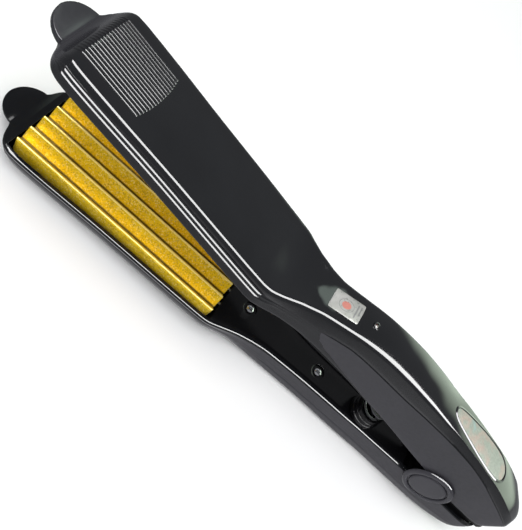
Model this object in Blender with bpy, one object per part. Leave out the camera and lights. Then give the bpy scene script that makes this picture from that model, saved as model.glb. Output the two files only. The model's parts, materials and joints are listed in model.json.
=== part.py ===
"""Hair crimper: two hinged arms with corrugated heated plates, open at the spring stop.

Each arm is modelled in its own frame, in millimetres, with the hinge axis along Y at the
origin, X running to the finger tab and "out" the distance from the plane where the arms
meet. The lower arm lies on the negative side of that plane, the upper arm on the positive.
Two empties on the hinge axis then stand the arms on the ground and open the upper one.
"""
import math

import bmesh
import bpy
from mathutils import Matrix, Vector

MM = 0.001

# Driving dimensions, millimetres and degrees
OPENING = 12.88            # angle between the arms at the stop
REST_TILT = 3.0           # head-down lean of the lower arm when it lies on the ground
HINGE_X = -108.278         # hinge axis in the world, from the middle of the whole part
HINGE_Z = 24.4045          # hinge axis above the ground
TAB_CENTRE = 245.4         # middle of the finger tab's round end
TAB_RADIUS = 12.0
REAR_END = -37.6
WALL = 1.6
GAP = 0.3                  # between neighbouring pieces

RIDGE_PITCH = 8.6
RIDGE_HEIGHT = 4.8
RIDGE_FLAT = 0.4           # half the flat on each crest and in each valley
PLATE_GAP = 0.5            # between the crimp plates when the arms are shut
PLATE_HALF = 19.2
PLATE_REAR = 131.0
PLATE_FRONT = 239.5
PLATE_BACK = 5.0
PLATE_CORNER = 3.5

LEAD_RADIUS = 0.55
PIN_RADIUS = 2.5
BARREL_RADIUS = 6.0
CAP_RADIUS = 12.4
CAP_INNER = 9.75
CAP_FACE = 11.3
BLOCK_HALF = 6.8

GLAND_RADIUS = 5.2
GLAND_BORE = 1.95
GLAND_OUT = 4.6

SPRING_X = 43.5
SPRING_RADIUS = 5.1
SPRING_WIRE = 0.55
SPRING_TURNS = 6.5
CUP_RADIUS = 8.2
CUP_TOP = -3.4             # out value: the cup stands past the plane between the arms
CUP_BODY = 6.4
CUP_BORE = 5.9

COVER_FRONT = 129.4
COVER_REAR = 13.0
COVER_RECESS = 0.6
COVER_THICK = 2.0
COVER_MARGIN = 0.9         # around the cover, inside the shell's wall
SCREWS_X = (117.0, 73.0)

LABEL_X = (95.3, 108.0)
LABEL_HALF = 5.3
LENS_X = 88.5
# The badge's drop outline: half width along the handle
BADGE = ((-5.5, 0.5), (-4.7, 3.0), (-2.6, 5.0), (0.8, 6.1), (6.0, 6.4), (14.0, 6.0), (22.0, 5.0),
         (30.0, 3.7), (34.5, 2.6), (36.5, 1.3), (37.0, 0.5))

# Half width at the rim, along both arms, behind the finger tab
WIDTHS = ((246.9, 12.1), (246.4, 12.9), (245.9, 14.0), (245.2, 16.2), (244.0, 18.9), (242.4, 21.1),
          (240.0, 22.7), (236.5, 23.6), (232.0, 23.8), (188.0, 22.7), (150.0, 22.3), (134.0, 22.0),
          (130.0, 21.6), (125.0, 19.9), (120.0, 17.8), (115.0, 15.9), (110.0, 14.4), (105.0, 13.2),
          (100.0, 12.3), (90.0, 11.2), (75.0, 10.3), (55.0, 9.8), (40.0, 9.4), (-24.0, 9.4),
          (-30.0, 8.9), (-33.5, 7.4), (-36.2, 4.9), (REAR_END, 2.2))
# How far the rim of each shell stands from the plane between the arms
RIM_FRONT = ((258.0, 0.7), (246.0, 0.8), (236.0, 1.2), (125.0, 1.8), (100.0, 2.4), (90.0, 3.1),
             (75.0, 3.6), (60.0, 3.9), (45.0, 4.4), (30.0, 4.5), (-9.0, 4.5))
RIM_LOWER = RIM_FRONT + ((-16.0, 4.9), (-30.0, 5.7), (REAR_END, 6.2))
RIM_UPPER = RIM_FRONT + ((-12.0, 4.6), (-20.0, 5.8), (-30.0, 8.0), (-33.5, 9.6), (-36.2, 12.6),
                         (REAR_END, 15.8))
# Height of each shell's outer face on its middle line
CROWN_LOWER = ((258.0, 2.6), (250.0, 2.8), (247.0, 3.1), (245.5, 3.9), (244.0, 5.6), (242.0, 8.9),
               (240.0, 11.1), (238.0, 11.88), (228.0, 12.38), (135.0, 12.7), (122.0, 13.4),
               (109.0, 16.8), (96.0, 19.2), (81.0, 19.95), (62.0, 20.7), (48.0, 21.8), (35.0, 22.604),
               (24.0, 23.18), (10.0, 23.914), (-5.0, 24.7), (-16.0, 24.1), (-25.0, 21.8), (-31.0, 18.7),
               (-35.0, 15.2),
               (REAR_END, 11.0))
CROWN_UPPER = ((258.0, 2.6), (250.0, 2.8), (247.0, 3.1), (245.5, 3.9), (244.0, 5.4), (242.0, 8.4),
               (240.0, 10.4), (238.0, 11.0), (228.0, 11.2), (200.0, 11.7), (150.0, 12.5), (138.0, 12.2),
               (128.0, 11.8), (121.0, 12.9), (114.0, 15.4), (108.0, 18.5), (102.0, 21.6),
               (95.0, 25.1), (88.0, 28.2), (80.0, 31.1), (70.0, 33.6), (58.0, 35.2), (45.0, 35.9),
               (20.0, 35.7), (0.0, 34.7), (-10.0, 33.6), (-20.0, 31.6), (-28.0, 28.9),
               (-33.5, 25.4), (-36.2, 22.3), (REAR_END, 19.3))
# Where the side wall ends and where the top begins, as shares of the shell's depth
SIDE_LOWER = ((258.0, 0.4), (134.0, 0.45), (100.0, 0.5), (REAR_END, 0.5))
SIDE_UPPER = ((258.0, 0.4), (134.0, 0.48), (100.0, 0.51), (86.0, 0.6), (68.0, 0.62), (30.0, 0.75),
              (5.0, 0.8), (-20.0, 0.75), (REAR_END, 0.45))
SHOULDER_LOWER = ((258.0, 0.85), (246.0, 0.88), (240.0, 0.93), (134.0, 0.955), (110.0, 0.91),
                  (60.0, 0.925), (REAR_END, 0.93))
SHOULDER_UPPER = ((258.0, 0.85), (246.0, 0.86), (240.0, 0.9), (200.0, 0.93), (150.0, 0.955),
                  (135.0, 1.02), (125.0, 1.12), (118.0, 1.12), (112.0, 1.05), (105.0, 0.97),
                  (95.0, 0.93), (60.0, 0.93), (-20.0, 0.92), (REAR_END, 0.84))
# How far those two points lie inside the rim
SIDE_LEAN = ((258.0, 0.1), (246.0, 0.4), (240.0, 1.2), (134.0, 1.2), (100.0, 0.5),
             (60.0, 0.3), (REAR_END, 0.2))
LEAN_LOWER = ((258.0, 0.6), (246.0, 1.2), (238.0, 4.5), (134.0, 4.5), (118.0, 4.0), (100.0, 2.7),
              (80.0, 2.2), (40.0, 1.9), (-20.0, 1.9), (REAR_END, 0.9))
LEAN_UPPER = ((258.0, 0.6), (246.0, 1.2), (243.0, 4.0), (238.0, 4.2), (200.0, 3.6), (134.0, 3.2),
              (115.0, 3.6), (108.0, 3.7), (100.0, 3.0), (90.0, 2.2), (80.0, 1.7), (60.0, 1.0),
              (-20.0, 0.9), (-28.0, 2.6), (-33.5, 3.0), (REAR_END, 1.5))

STATIONS = (257.3, 256.6, 255.0, 252.5, 249.5, 247.4, 246.6, 246.0, 245.2, 244.0, 242.6, 241.2,
            239.6, 237.6, 235.0, 231.0, 215.0, 190.0, 160.0, 142.0, 134.0, 130.0, 125.5, 121.0,
            117.0, 113.0, 109.0, 105.0, 100.5, 96.0, 90.0, 83.0, 75.0, 65.0, 54.0, 43.0, 35.0,
            24.0, 10.0, -5.0, -10.0, -16.0, -22.0, -27.0, -31.0, -34.0, -36.2, REAR_END)
CAVITY_FRONT = 241.0
CAVITY_REAR = -35.2

BLACK_GLOSS = ("gloss_black", (0.022, 0.023, 0.026), 0.22, 0.0)
BLACK_INNER = ("inner_black", (0.012, 0.012, 0.014), 0.18, 0.0)
BLACK_MATTE = ("matte_black", (0.018, 0.018, 0.019), 0.5, 0.0)
GOLD = ("gold_plate", (0.83, 0.60, 0.10), 0.32, 1.0)
STEEL = ("steel", (0.55, 0.55, 0.56), 0.3, 1.0)
CERAMIC = ("white_ceramic", (0.86, 0.85, 0.80), 0.6, 0.0)
MICA = ("mica", (0.62, 0.55, 0.40), 0.55, 0.0)
WIRE_WHITE = ("wire_white", (0.80, 0.80, 0.78), 0.5, 0.0)
BOARD_GREEN = ("board_green", (0.05, 0.22, 0.10), 0.5, 0.0)
LENS_RED = ("lens_red", (0.55, 0.06, 0.05), 0.15, 0.0)
SILVER = ("silver_film", (0.72, 0.73, 0.72), 0.35, 0.6)
RUBBER = ("gland_rubber", (0.02, 0.02, 0.02), 0.7, 0.0)


# ---------------------------------------------------------------- curves

def along(knots, x):
    """A smooth value at x through (x, value) knots, without overshoot between them."""
    pts = sorted(knots)
    if x <= pts[0][0]:
        return pts[0][1]
    if x >= pts[-1][0]:
        return pts[-1][1]
    slopes = [(b[1] - a[1]) / (b[0] - a[0]) for a, b in zip(pts, pts[1:])]
    tangents = [slopes[0]]
    for before, after in zip(slopes, slopes[1:]):
        same_way = before * after > 0
        tangents.append(2 * before * after / (before + after) if same_way else 0.0)
    tangents.append(slopes[-1])
    i = max(k for k in range(len(slopes)) if pts[k][0] <= x)
    width = pts[i + 1][0] - pts[i][0]
    t = (x - pts[i][0]) / width
    start, end = pts[i][1], pts[i + 1][1]
    return ((1 + 2 * t) * (1 - t) ** 2 * start + t * (1 - t) ** 2 * width * tangents[i]
            + t * t * (3 - 2 * t) * end + t * t * (t - 1) * width * tangents[i + 1])


def half_width(x):
    """Half width of an arm's rim: the round finger tab, then the shell behind it."""
    if x > WIDTHS[0][0]:
        return math.sqrt(max(TAB_RADIUS ** 2 - (x - TAB_CENTRE) ** 2, 0.04))
    return along(WIDTHS, x)


class Shell:
    """The outer shape of one arm's housing."""

    def __init__(self, rim, crown, side, shoulder, lean):
        self.rim, self.crown, self.side, self.shoulder, self.lean = rim, crown, side, shoulder, lean

    def half_section(self, x, inset=0.0):
        """(y, out) points from the rim over the side and shoulder to the middle line."""
        width, rim, crown = half_width(x), along(self.rim, x), along(self.crown, x)
        depth = crown - rim
        side = (width - along(SIDE_LEAN, x), rim + along(self.side, x) * depth)
        shoulder = (max(width - along(self.lean, x), 0.3 * width), rim + along(self.shoulder, x) * depth)
        mid_y = 0.35 * side[0] + 0.65 * shoulder[0]
        bend = (mid_y + 0.28 * (side[0] - shoulder[0]), 0.4 * side[1] + 0.6 * shoulder[1])
        round_over = (0.88 * shoulder[0], 0.45 * shoulder[1] + 0.55 * crown)
        points = [(width, rim), side, bend, shoulder, round_over, (0.55 * shoulder[0], crown), (0.0, crown)]
        if inset:
            points = [(max(y - inset, 0.0), out) for y, out in points]
            points = [(y, out - inset * min(1.0, max(0.0, (out - side[1]) / (crown - side[1]))))
                      for y, out in points]
            points[0] = (points[0][0], rim - 4.0)
        return points

    def ring(self, x, inset=0.0):
        """A closed (y, out) ring around the section, near side first."""
        half = self.half_section(x, inset)
        return half + [(-y, out) for y, out in reversed(half[:-1])]


LOWER_SHELL = Shell(RIM_LOWER, CROWN_LOWER, SIDE_LOWER, SHOULDER_LOWER, LEAN_LOWER)
UPPER_SHELL = Shell(RIM_UPPER, CROWN_UPPER, SIDE_UPPER, SHOULDER_UPPER, LEAN_UPPER)


# ---------------------------------------------------------------- building blocks

def clear_scene():
    for obj in list(bpy.data.objects):
        bpy.data.objects.remove(obj, do_unlink=True)


def material(spec):
    name, colour, roughness, metallic = spec
    found = bpy.data.materials.get(name)
    if found:
        return found
    made = bpy.data.materials.new(name)
    made.use_nodes = True
    shader = made.node_tree.nodes["Principled BSDF"]
    shader.inputs["Base Color"].default_value = (*colour, 1.0)
    shader.inputs["Roughness"].default_value = roughness
    shader.inputs["Metallic"].default_value = metallic
    return made


class Arm:
    """One arm: an empty on the hinge axis, and the side of the parting plane it lies on."""

    def __init__(self, name, side, angle):
        self.side = side
        self.empty = bpy.data.objects.new(name, None)
        bpy.context.scene.collection.objects.link(self.empty)
        self.empty.location = (HINGE_X * MM, 0, HINGE_Z * MM)
        self.empty.rotation_euler = (0, math.radians(angle), 0)

    def point(self, x, y, out):
        return Vector((x, y, self.side * out)) * MM

    def place(self, name, mesh, spec, smooth=40.0):
        obj = bpy.data.objects.new(name, mesh)
        bpy.context.scene.collection.objects.link(obj)
        obj.parent = self.empty
        if spec is not None:
            mesh.materials.append(material(spec))
        mesh.shade_smooth()
        mesh.set_sharp_from_angle(angle=math.radians(smooth))
        return obj


def mesh_from(name, verts, faces):
    """A closed mesh with its faces turned outwards."""
    bm = bmesh.new()
    made = [bm.verts.new(v) for v in verts]
    for face in faces:
        bm.faces.new([made[i] for i in face])
    bmesh.ops.recalc_face_normals(bm, faces=bm.faces)
    mesh = bpy.data.meshes.new(name)
    bm.to_mesh(mesh)
    bm.free()
    return mesh


def loft(arm, name, rings, spec):
    """A solid through rings of (x, y, out) points, closed at both ends."""
    count = len(rings[0])
    verts = [arm.point(*p) for ring in rings for p in ring]
    faces = [tuple(range(count)), tuple(range(len(verts) - count, len(verts)))]
    for i in range(len(rings) - 1):
        for k in range(count):
            a, b = i * count + k, i * count + (k + 1) % count
            faces.append((a, b, b + count, a + count))
    return arm.place(name, mesh_from(name, verts, faces), spec)


def box(arm, name, xs, ys, outs, spec):
    """A block between two values of x, y and out."""
    rings = [[(x, ys[0], outs[0]), (x, ys[1], outs[0]), (x, ys[1], outs[1]), (x, ys[0], outs[1])]
             for x in xs]
    return loft(arm, name, rings, spec)


def rounded_slab(arm, name, xs, half, radius, outs, spec):
    """A block with four rounded corners, seen along out."""
    corners = ((xs[1] - radius, half - radius, 0), (xs[0] + radius, half - radius, 90),
               (xs[0] + radius, radius - half, 180), (xs[1] - radius, radius - half, 270))
    outline = []
    for x, y, start in corners:
        for turn in (0, 30, 60, 90):
            angle = math.radians(start + turn)
            outline.append((x + radius * math.cos(angle), y + radius * math.sin(angle)))
    return loft(arm, name, [[(x, y, out) for x, y in outline] for out in outs], spec)


def turned(arm, name, steps, centre, axis, spec, sides=24):
    """A stack of discs: steps are (radius, place along the axis). Axis is 'y' or 'out'."""
    rings = []
    for radius, place in steps:
        ring = []
        for k in range(sides):
            angle = 2 * math.pi * (k + 0.5) / sides
            across, up = radius * math.cos(angle), radius * math.sin(angle)
            if axis == "y":
                ring.append((centre[0] + across, place, centre[2] + up))
            else:
                ring.append((centre[0] + across, centre[1] + up, place))
        rings.append(ring)
    return loft(arm, name, rings, spec)


def tube(arm, name, path, radius, spec, sides=6):
    """A round wire through (x, y, out) points."""
    rings = []
    points = [Vector(p) for p in path]
    for i, here in enumerate(points):
        ahead = points[min(i + 1, len(points) - 1)] - points[max(i - 1, 0)]
        tangent = ahead.normalized()
        side = tangent.cross(Vector((0, 1, 0)))
        if side.length < 0.3:
            side = tangent.cross(Vector((1, 0, 0)))
        side.normalize()
        up = tangent.cross(side)
        ring = []
        for k in range(sides):
            angle = 2 * math.pi * k / sides
            ring.append(tuple(here + side * (radius * math.cos(angle)) + up * (radius * math.sin(angle))))
        rings.append(ring)
    return loft(arm, name, rings, spec)


def boolean(target, other, operation):
    """Cuts or joins other into target. The helper itself isn't a part of the object."""
    change = target.modifiers.new(other.name, "BOOLEAN")
    change.operation = operation
    change.object = other
    other.hide_render = True
    other.display_type = "WIRE"


def cut(target, *cutters):
    for cutter in cutters:
        boolean(target, cutter, "DIFFERENCE")


def join(target, *pieces):
    for piece in pieces:
        boolean(target, piece, "UNION")


# ---------------------------------------------------------------- housings and covers

def shell_solid(arm, name, shell, spec):
    rings = [[(x, y, out) for y, out in shell.ring(x)] for x in STATIONS]
    return loft(arm, name, rings, spec)


def shell_cavity(arm, name, shell):
    inside = [x for x in STATIONS if CAVITY_REAR < x < CAVITY_FRONT]
    rings = [[(x, y, out) for y, out in shell.ring(x, WALL)]
             for x in (CAVITY_FRONT, *inside, CAVITY_REAR)]
    return loft(arm, name, rings, None)


def housing(arm, name, shell):
    body = shell_solid(arm, name, shell, BLACK_GLOSS)
    cut(body, shell_cavity(arm, name + "_cavity", shell))
    return body


def inner_cover(arm, name, shell):
    """The plate that closes the arm behind the crimp plate, with its two screw wells."""
    xs = [COVER_FRONT] + [x for x in STATIONS if COVER_REAR < x < COVER_FRONT - 2] + [COVER_REAR]
    rings = []
    for x in xs:
        half = half_width(x) - WALL - COVER_MARGIN
        face = along(shell.rim, x) + COVER_RECESS
        rings.append([(x, half, face), (x, half - 0.2, face + COVER_THICK),
                      (x, 0.2 - half, face + COVER_THICK), (x, -half, face)])
    cover = loft(arm, name, rings, BLACK_INNER)
    for i, x in enumerate(SCREWS_X):
        face = along(shell.rim, x) + COVER_RECESS
        steps = ((3.6, face - 1), (3.6, face + 0.9), (1.9, face + 0.9), (1.9, face + COVER_THICK + 1))
        cut(cover, turned(arm, f"{name}_well_{i}", steps, (x, 0, 0), "out", None, 20))
    return cover


def cover_screw(arm, name, shell, x):
    """A pan-head screw with a cross recess, seated in its well."""
    face = along(shell.rim, x) + COVER_RECESS
    seat = face + 0.9 - GAP
    steps = ((1.6, seat - 1.5), (2.6, seat - 1.1), (2.9, seat - 0.5), (2.9, seat), (1.5, seat),
             (1.5, face + 7.0), (0.6, face + 8.0))
    screw = turned(arm, name, steps, (x, 0, 0), "out", STEEL, 16)
    slot = (0.42, 1.7)
    for i, (half_x, half_y) in enumerate((slot, slot[::-1])):
        cut(screw, box(arm, f"{name}_slot_{i}", (x - half_x, x + half_x), (-half_y, half_y),
                       (seat - 3.0, seat - 0.75 - 0.1 * i), None))
    return screw


# ---------------------------------------------------------------- heated head

def corrugation(y):
    """Height of the crimping surface over the parting plane: a crest on the middle line."""
    turn = abs((y / RIDGE_PITCH + 0.5) % 1.0 - 0.5) * RIDGE_PITCH
    reach = RIDGE_PITCH / 2 - 2 * RIDGE_FLAT
    share = min(1.0, max(0.0, (turn - RIDGE_FLAT) / reach))
    return RIDGE_HEIGHT * (0.5 - share)


def crimp_plate(arm, name):
    """A corrugated plate. The lower one has a crest at each long edge, the upper one a valley."""
    half_pitches = 4
    ys = []
    for k in range(-half_pitches, half_pitches + 1):
        ys += [k * RIDGE_PITCH / 2 - RIDGE_FLAT, k * RIDGE_PITCH / 2 + RIDGE_FLAT]
    profile = [(y, arm.side * corrugation(y) + PLATE_GAP / 2) for y in ys]
    edge_out = profile[-1][1]
    flank = [(PLATE_HALF, min(edge_out + 4.6, PLATE_BACK - 0.6))]
    back = [(PLATE_HALF, PLATE_BACK), (-PLATE_HALF, PLATE_BACK)]
    ring = [(-y, out) for y, out in flank] + profile + flank + back
    plate = loft(arm, name, [[(x, y, out) for y, out in ring] for x in (PLATE_REAR, PLATE_FRONT)], GOLD)
    outline = rounded_slab(arm, name + "_outline", (PLATE_REAR, PLATE_FRONT), PLATE_HALF,
                           PLATE_CORNER, (-9.0, 9.0), None)
    boolean(plate, outline, "INTERSECT")
    return plate


def plate_frame(arm, name):
    frame = box(arm, name, (133.0, 238.0), (-16.4, 16.4), (PLATE_BACK + GAP, 7.9), BLACK_MATTE)
    cut(frame, box(arm, name + "_window", (139.0, 232.0), (-13.6, 13.6), (0, 12), None))
    return frame


def heater(arm, name):
    return box(arm, name, (148.0, 222.0), (-9.0, 9.0), (PLATE_BACK + GAP, 6.9), CERAMIC)


def heater_clip(arm, name):
    """A bowed spring strip: its middle presses the heater, its ends stand off."""
    middle, half_span, bow = 185.0, 40.0, 1.0
    rings = []
    for k in range(-4, 5):
        x = middle + half_span * k / 4
        out = 7.2 + bow * (k / 4) ** 2
        rings.append([(x, -5, out), (x, 5, out), (x, 5, out + 0.5), (x, -5, out + 0.5)])
    return loft(arm, name, rings, STEEL)


def mica_sheet(arm, name):
    return box(arm, name, (146.5, 230.0), (-12.5, 12.5), (8.8, 9.1), MICA)


def thermal_fuse(arm, name):
    centre = (0, -11.4, 6.6)
    steps = ((0.5, 156), (0.5, 160), (1.25, 160), (1.25, 170), (0.5, 170), (0.5, 174))
    rings = []
    for radius, x in steps:
        rings.append([(x, centre[1] + radius * math.cos(math.pi * k / 5),
                       centre[2] + radius * math.sin(math.pi * k / 5)) for k in range(10)])
    return loft(arm, name, rings, SILVER)


def heater_lead(arm, name, side, route):
    """A lead from the back of the heater, through (x, out) points along the handle."""
    sideways = ((118.0, 3.2 * side), (146.0, 7.2 * side))
    rear, front = min(route)[0], max(route)[0]
    path = [(x, along(sideways, x), along(route, x)) for x in spread(front, rear, 18)]
    return tube(arm, name, path, LEAD_RADIUS, WIRE_WHITE)


def heated_head(arm, prefix):
    crimp_plate(arm, prefix + "_crimp_plate")
    plate_frame(arm, prefix + "_plate_frame")
    heater(arm, prefix + "_heater")
    heater_clip(arm, prefix + "_heater_clip")
    mica_sheet(arm, prefix + "_mica_sheet")
    thermal_fuse(arm, prefix + "_thermal_fuse")


# ---------------------------------------------------------------- hinge

def lower_hinge_block(arm):
    """The base in the lower arm with the middle barrel, and the rib that fills the rear gap."""
    block = box(arm, "lower_hinge_block", (-29.0, 8.0), (-BLOCK_HALF, BLOCK_HALF), (8.5, 13.5), BLACK_MATTE)
    neck = box(arm, "lower_hinge_neck", (-5.0, 5.0), (-3.2, 3.2), (0.0, 9.0), None)
    barrel = turned(arm, "lower_hinge_barrel", ((BARREL_RADIUS, -3.2), (BARREL_RADIUS, 3.2)),
                    (0, 0, 0), "y", None)
    rib = box(arm, "lower_hinge_rib", (-31.0, -9.5), (0.4 - BLOCK_HALF, BLOCK_HALF - 0.4), (0.6, 9.0), None)
    join(block, neck, barrel, rib)
    cut(block, pin_bore(arm, "lower_pin_bore"))
    return block


def upper_hinge_block(arm):
    """A bridge inside the upper arm with the two outer lugs."""
    block = box(arm, "upper_hinge_block", (-5.6, 5.6), (-BLOCK_HALF, BLOCK_HALF), (12.0, 17.0), BLACK_MATTE)
    for name, ys in (("near", (3.6, BLOCK_HALF)), ("far", (-BLOCK_HALF, -3.6))):
        web = box(arm, f"upper_{name}_web", (-5.0, 5.0), ys, (0.0, 12.5), None)
        lug = turned(arm, f"upper_{name}_lug", ((BARREL_RADIUS, ys[0]), (BARREL_RADIUS, ys[1])),
                     (0, 0, 0), "y", None)
        join(block, web, lug)
    cut(block, pin_bore(arm, "upper_pin_bore"))
    return block


def pin_bore(arm, name):
    radius = PIN_RADIUS + GAP
    return turned(arm, name, ((radius, -20), (radius, 20)), (0, 0, 0), "y", None)


def hinge_pin(arm):
    end = CAP_INNER - GAP
    steps = ((PIN_RADIUS - 0.4, -end), (PIN_RADIUS, -end + 0.4), (PIN_RADIUS, end - 0.4),
             (PIN_RADIUS - 0.4, end))
    return turned(arm, "hinge_pin", steps, (0, 0, 0), "y", STEEL)


def hinge_cap(arm, name, side):
    """A round end cover with a groove around a raised middle."""
    steps = ((CAP_RADIUS - 0.3, CAP_INNER), (CAP_RADIUS, CAP_INNER + 0.3), (CAP_RADIUS, CAP_FACE - 0.5),
             (CAP_RADIUS - 0.5, CAP_FACE), (9.6, CAP_FACE), (9.1, CAP_FACE - 0.6),
             (8.7, CAP_FACE - 0.2), (8.2, CAP_FACE - 0.05))
    return turned(arm, name, [(radius, side * y) for radius, y in steps], (0, 0, 0), "y", BLACK_GLOSS, 40)


def ring_across(x, radius, sides=24):
    """A circle around the gland's axis, which runs along the arm."""
    return [(x, radius * math.cos(2 * math.pi * k / sides),
             GLAND_OUT + radius * math.sin(2 * math.pi * k / sides)) for k in range(sides)]


def cord_gland(arm):
    """The outlet at the rear end, with the bore that a supply cord would leave by."""
    rings = []
    for x, radius in ((-32.4, GLAND_RADIUS), (-37.6, GLAND_RADIUS), (-38.4, GLAND_RADIUS - 0.8)):
        rings.append(ring_across(x, radius))
    gland = loft(arm, "cord_gland", rings, RUBBER)
    cut(gland, loft(arm, "gland_bore", [ring_across(x, GLAND_BORE) for x in (-31, -40)], None))
    return gland


def gland_notch(arm):
    return loft(arm, "gland_notch", [ring_across(x, GLAND_RADIUS + GAP) for x in (-32, -42)], None)


def terminal_block(arm):
    return box(arm, "terminal_block", (-27.0, -14.0), (-4.5, 4.5), (13.8, 17.0), CERAMIC)


# ---------------------------------------------------------------- spring

def spring_cup(arm):
    """A stepped cup: three rims above the inner face, and a body that passes through it."""
    floor, face = 16.0, along(RIM_LOWER, SPRING_X) + COVER_RECESS
    steps = ((CUP_BODY, floor), (CUP_BODY, face - GAP), (7.2, face - GAP), (7.2, 3.9), (CUP_RADIUS, 3.7),
             (CUP_RADIUS, 1.4), (7.7, 1.2), (7.7, -0.8), (7.2, -1.0), (7.2, CUP_TOP))
    cup = turned(arm, "spring_cup", steps, (SPRING_X, 0, 0), "out", BLACK_INNER, 32)
    cut(cup, turned(arm, "spring_cup_bore", ((CUP_BORE, floor - 1.0), (CUP_BORE, CUP_TOP - 1)),
                    (SPRING_X, 0, 0), "out", None, 32))
    return cup


def spring_peg(arm):
    face = along(RIM_UPPER, SPRING_X) + COVER_RECESS - GAP
    steps = ((6.6, face), (6.6, face - 0.8), (4.0, face - 0.8), (4.0, face - 3.6), (3.4, face - 4.2))
    return turned(arm, "spring_peg", steps, (SPRING_X, 0, 0), "out", BLACK_INNER, 20)


def return_spring(lower):
    """A coil between the cup's floor and the upper arm, leaning with the open arm at its top."""
    angle = math.radians(OPENING)
    foot = Vector((SPRING_X, 0, -14.3))
    seat_out = along(RIM_UPPER, SPRING_X) + COVER_RECESS - 2.0
    head = Vector((SPRING_X * math.cos(angle) - seat_out * math.sin(angle), 0,
                   SPRING_X * math.sin(angle) + seat_out * math.cos(angle)))
    reach = (head - foot).length / 3
    path = []
    per_turn = 14
    count = int(SPRING_TURNS * per_turn)
    for k in range(count + 1):
        t = k / count
        handles = (foot, foot + Vector((0, 0, reach)),
                   head - Vector((-math.sin(angle), 0, math.cos(angle))) * reach, head)
        weights = ((1 - t) ** 3, 3 * t * (1 - t) ** 2, 3 * t * t * (1 - t), t ** 3)
        middle = sum((w * h for w, h in zip(weights, handles)), Vector())
        lean = angle * t
        turn = 2 * math.pi * k / per_turn
        across, along_y = SPRING_RADIUS * math.cos(turn), SPRING_RADIUS * math.sin(turn)
        spot = middle + Vector((across * math.cos(lean), along_y, across * math.sin(lean)))
        path.append((spot.x, spot.y, -spot.z))
    return coil(lower, "return_spring", path, SPRING_WIRE, STEEL)


def coil(arm, name, path, radius, spec, sides=5):
    """A wire along a helix, its section turned with the coil."""
    points = [Vector(p) for p in path]
    rings = []
    for i, here in enumerate(points):
        tangent = (points[min(i + 1, len(points) - 1)] - points[max(i - 1, 0)]).normalized()
        outward = tangent.cross(Vector((0, 0, 1))).normalized()
        up = tangent.cross(outward)
        rings.append([tuple(here + outward * (radius * math.cos(2 * math.pi * k / sides))
                            + up * (radius * math.sin(2 * math.pi * k / sides))) for k in range(sides)])
    return loft(arm, name, rings, spec)


# ---------------------------------------------------------------- upper arm fittings

def skin(shell, x, y):
    """How far out the shell's face is at x and y, over its top."""
    half = shell.half_section(x)[3:]
    return along([(across, out) for across, out in half], abs(y))


def strip_over(arm, name, stations, low, high, spec):
    """A thin piece that follows the upper arm's face: stations are (x, half width)."""
    shares = (1.0, 0.85, 0.5, 0.0, -0.5, -0.85, -1.0)
    rings = []
    for x, half in stations:
        ys = [half * share for share in shares]
        faces = [(x, y, skin(UPPER_SHELL, x, y)) for y in ys]
        under = [(x, y, out + low) for x, y, out in faces]
        over = [(x, y, out + high) for x, y, out in reversed(faces)]
        rings.append(under + over)
    return loft(arm, name, rings, spec)


def spread(start, end, count):
    return [start + (end - start) * k / (count - 1) for k in range(count)]


def drop(margin):
    """The badge's outline, grown by a margin all round."""
    rear, front = BADGE[0][0], BADGE[-1][0]
    grow = (front - rear + 2 * margin) / (front - rear)
    return [(rear - margin + (x - rear) * grow, half + margin) for x, half in BADGE]


def handle_badge(arm, body):
    """A drop-shaped well in the handle, a dish with a raised rim in it and an inlay inside."""
    cut(body, strip_over(arm, "badge_well", drop(1.2), -1.2, 6.0, None))
    bezel = strip_over(arm, "handle_badge_bezel", drop(0.9), -0.9, 0.1, BLACK_GLOSS)
    cut(bezel, strip_over(arm, "bezel_window", drop(0.3), -0.5, 3.0, None))
    strip_over(arm, "handle_badge", drop(0.0), -0.2, -0.05, SILVER)


def label(arm, body):
    """The sticker behind the head, in a shallow well."""
    rear, front = LABEL_X
    well = [(x, LABEL_HALF + GAP) for x in spread(rear - GAP, front + GAP, 7)]
    cut(body, strip_over(arm, "label_well", well, -0.55, 4.0, None))
    strip_over(arm, "warning_label", [(x, LABEL_HALF) for x in spread(rear, front, 7)], -0.25, 0.0, SILVER)


def pilot_light(arm, body):
    top = along(CROWN_UPPER, LENS_X)
    cut(body, turned(arm, "lens_hole", ((1.8, top - 9), (1.8, top + 5)), (LENS_X, 0, 0), "out", None, 16))
    lens = ((1.1, top - 5.2), (1.5, top - 4.8), (1.5, top - 0.4), (1.1, top + 0.1), (0.5, top + 0.3))
    turned(arm, "pilot_lens", lens, (LENS_X, 0, 0), "out", LENS_RED, 14)
    led = ((0.5, top - 5.6), (1.1, top - 5.9), (1.5, top - 6.6), (1.5, top - 9.6), (1.8, top - 9.6),
           (1.8, top - 10.4))
    turned(arm, "pilot_led", led, (LENS_X, 0, 0), "out", LENS_RED, 14)


def control_board(arm):
    """The board that feeds the heater and the pilot light, with its larger parts."""
    board = box(arm, "control_board", (22.0, 76.0), (-6.6, 6.6), (18.0, 19.6), BOARD_GREEN)
    parts = (("film_capacitor", (26.0, 38.0), (-4.0, 4.0), 26.0), ("triac", (44.0, 50.0), (-5.0, 5.0), 24.5),
             ("dropper_resistor", (56.0, 68.0), (-2.0, 2.0), 22.8))
    for name, xs, ys, top in parts:
        join(board, box(arm, name, xs, ys, (19.0, top), None))
    return board


# ---------------------------------------------------------------- the two arms

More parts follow.
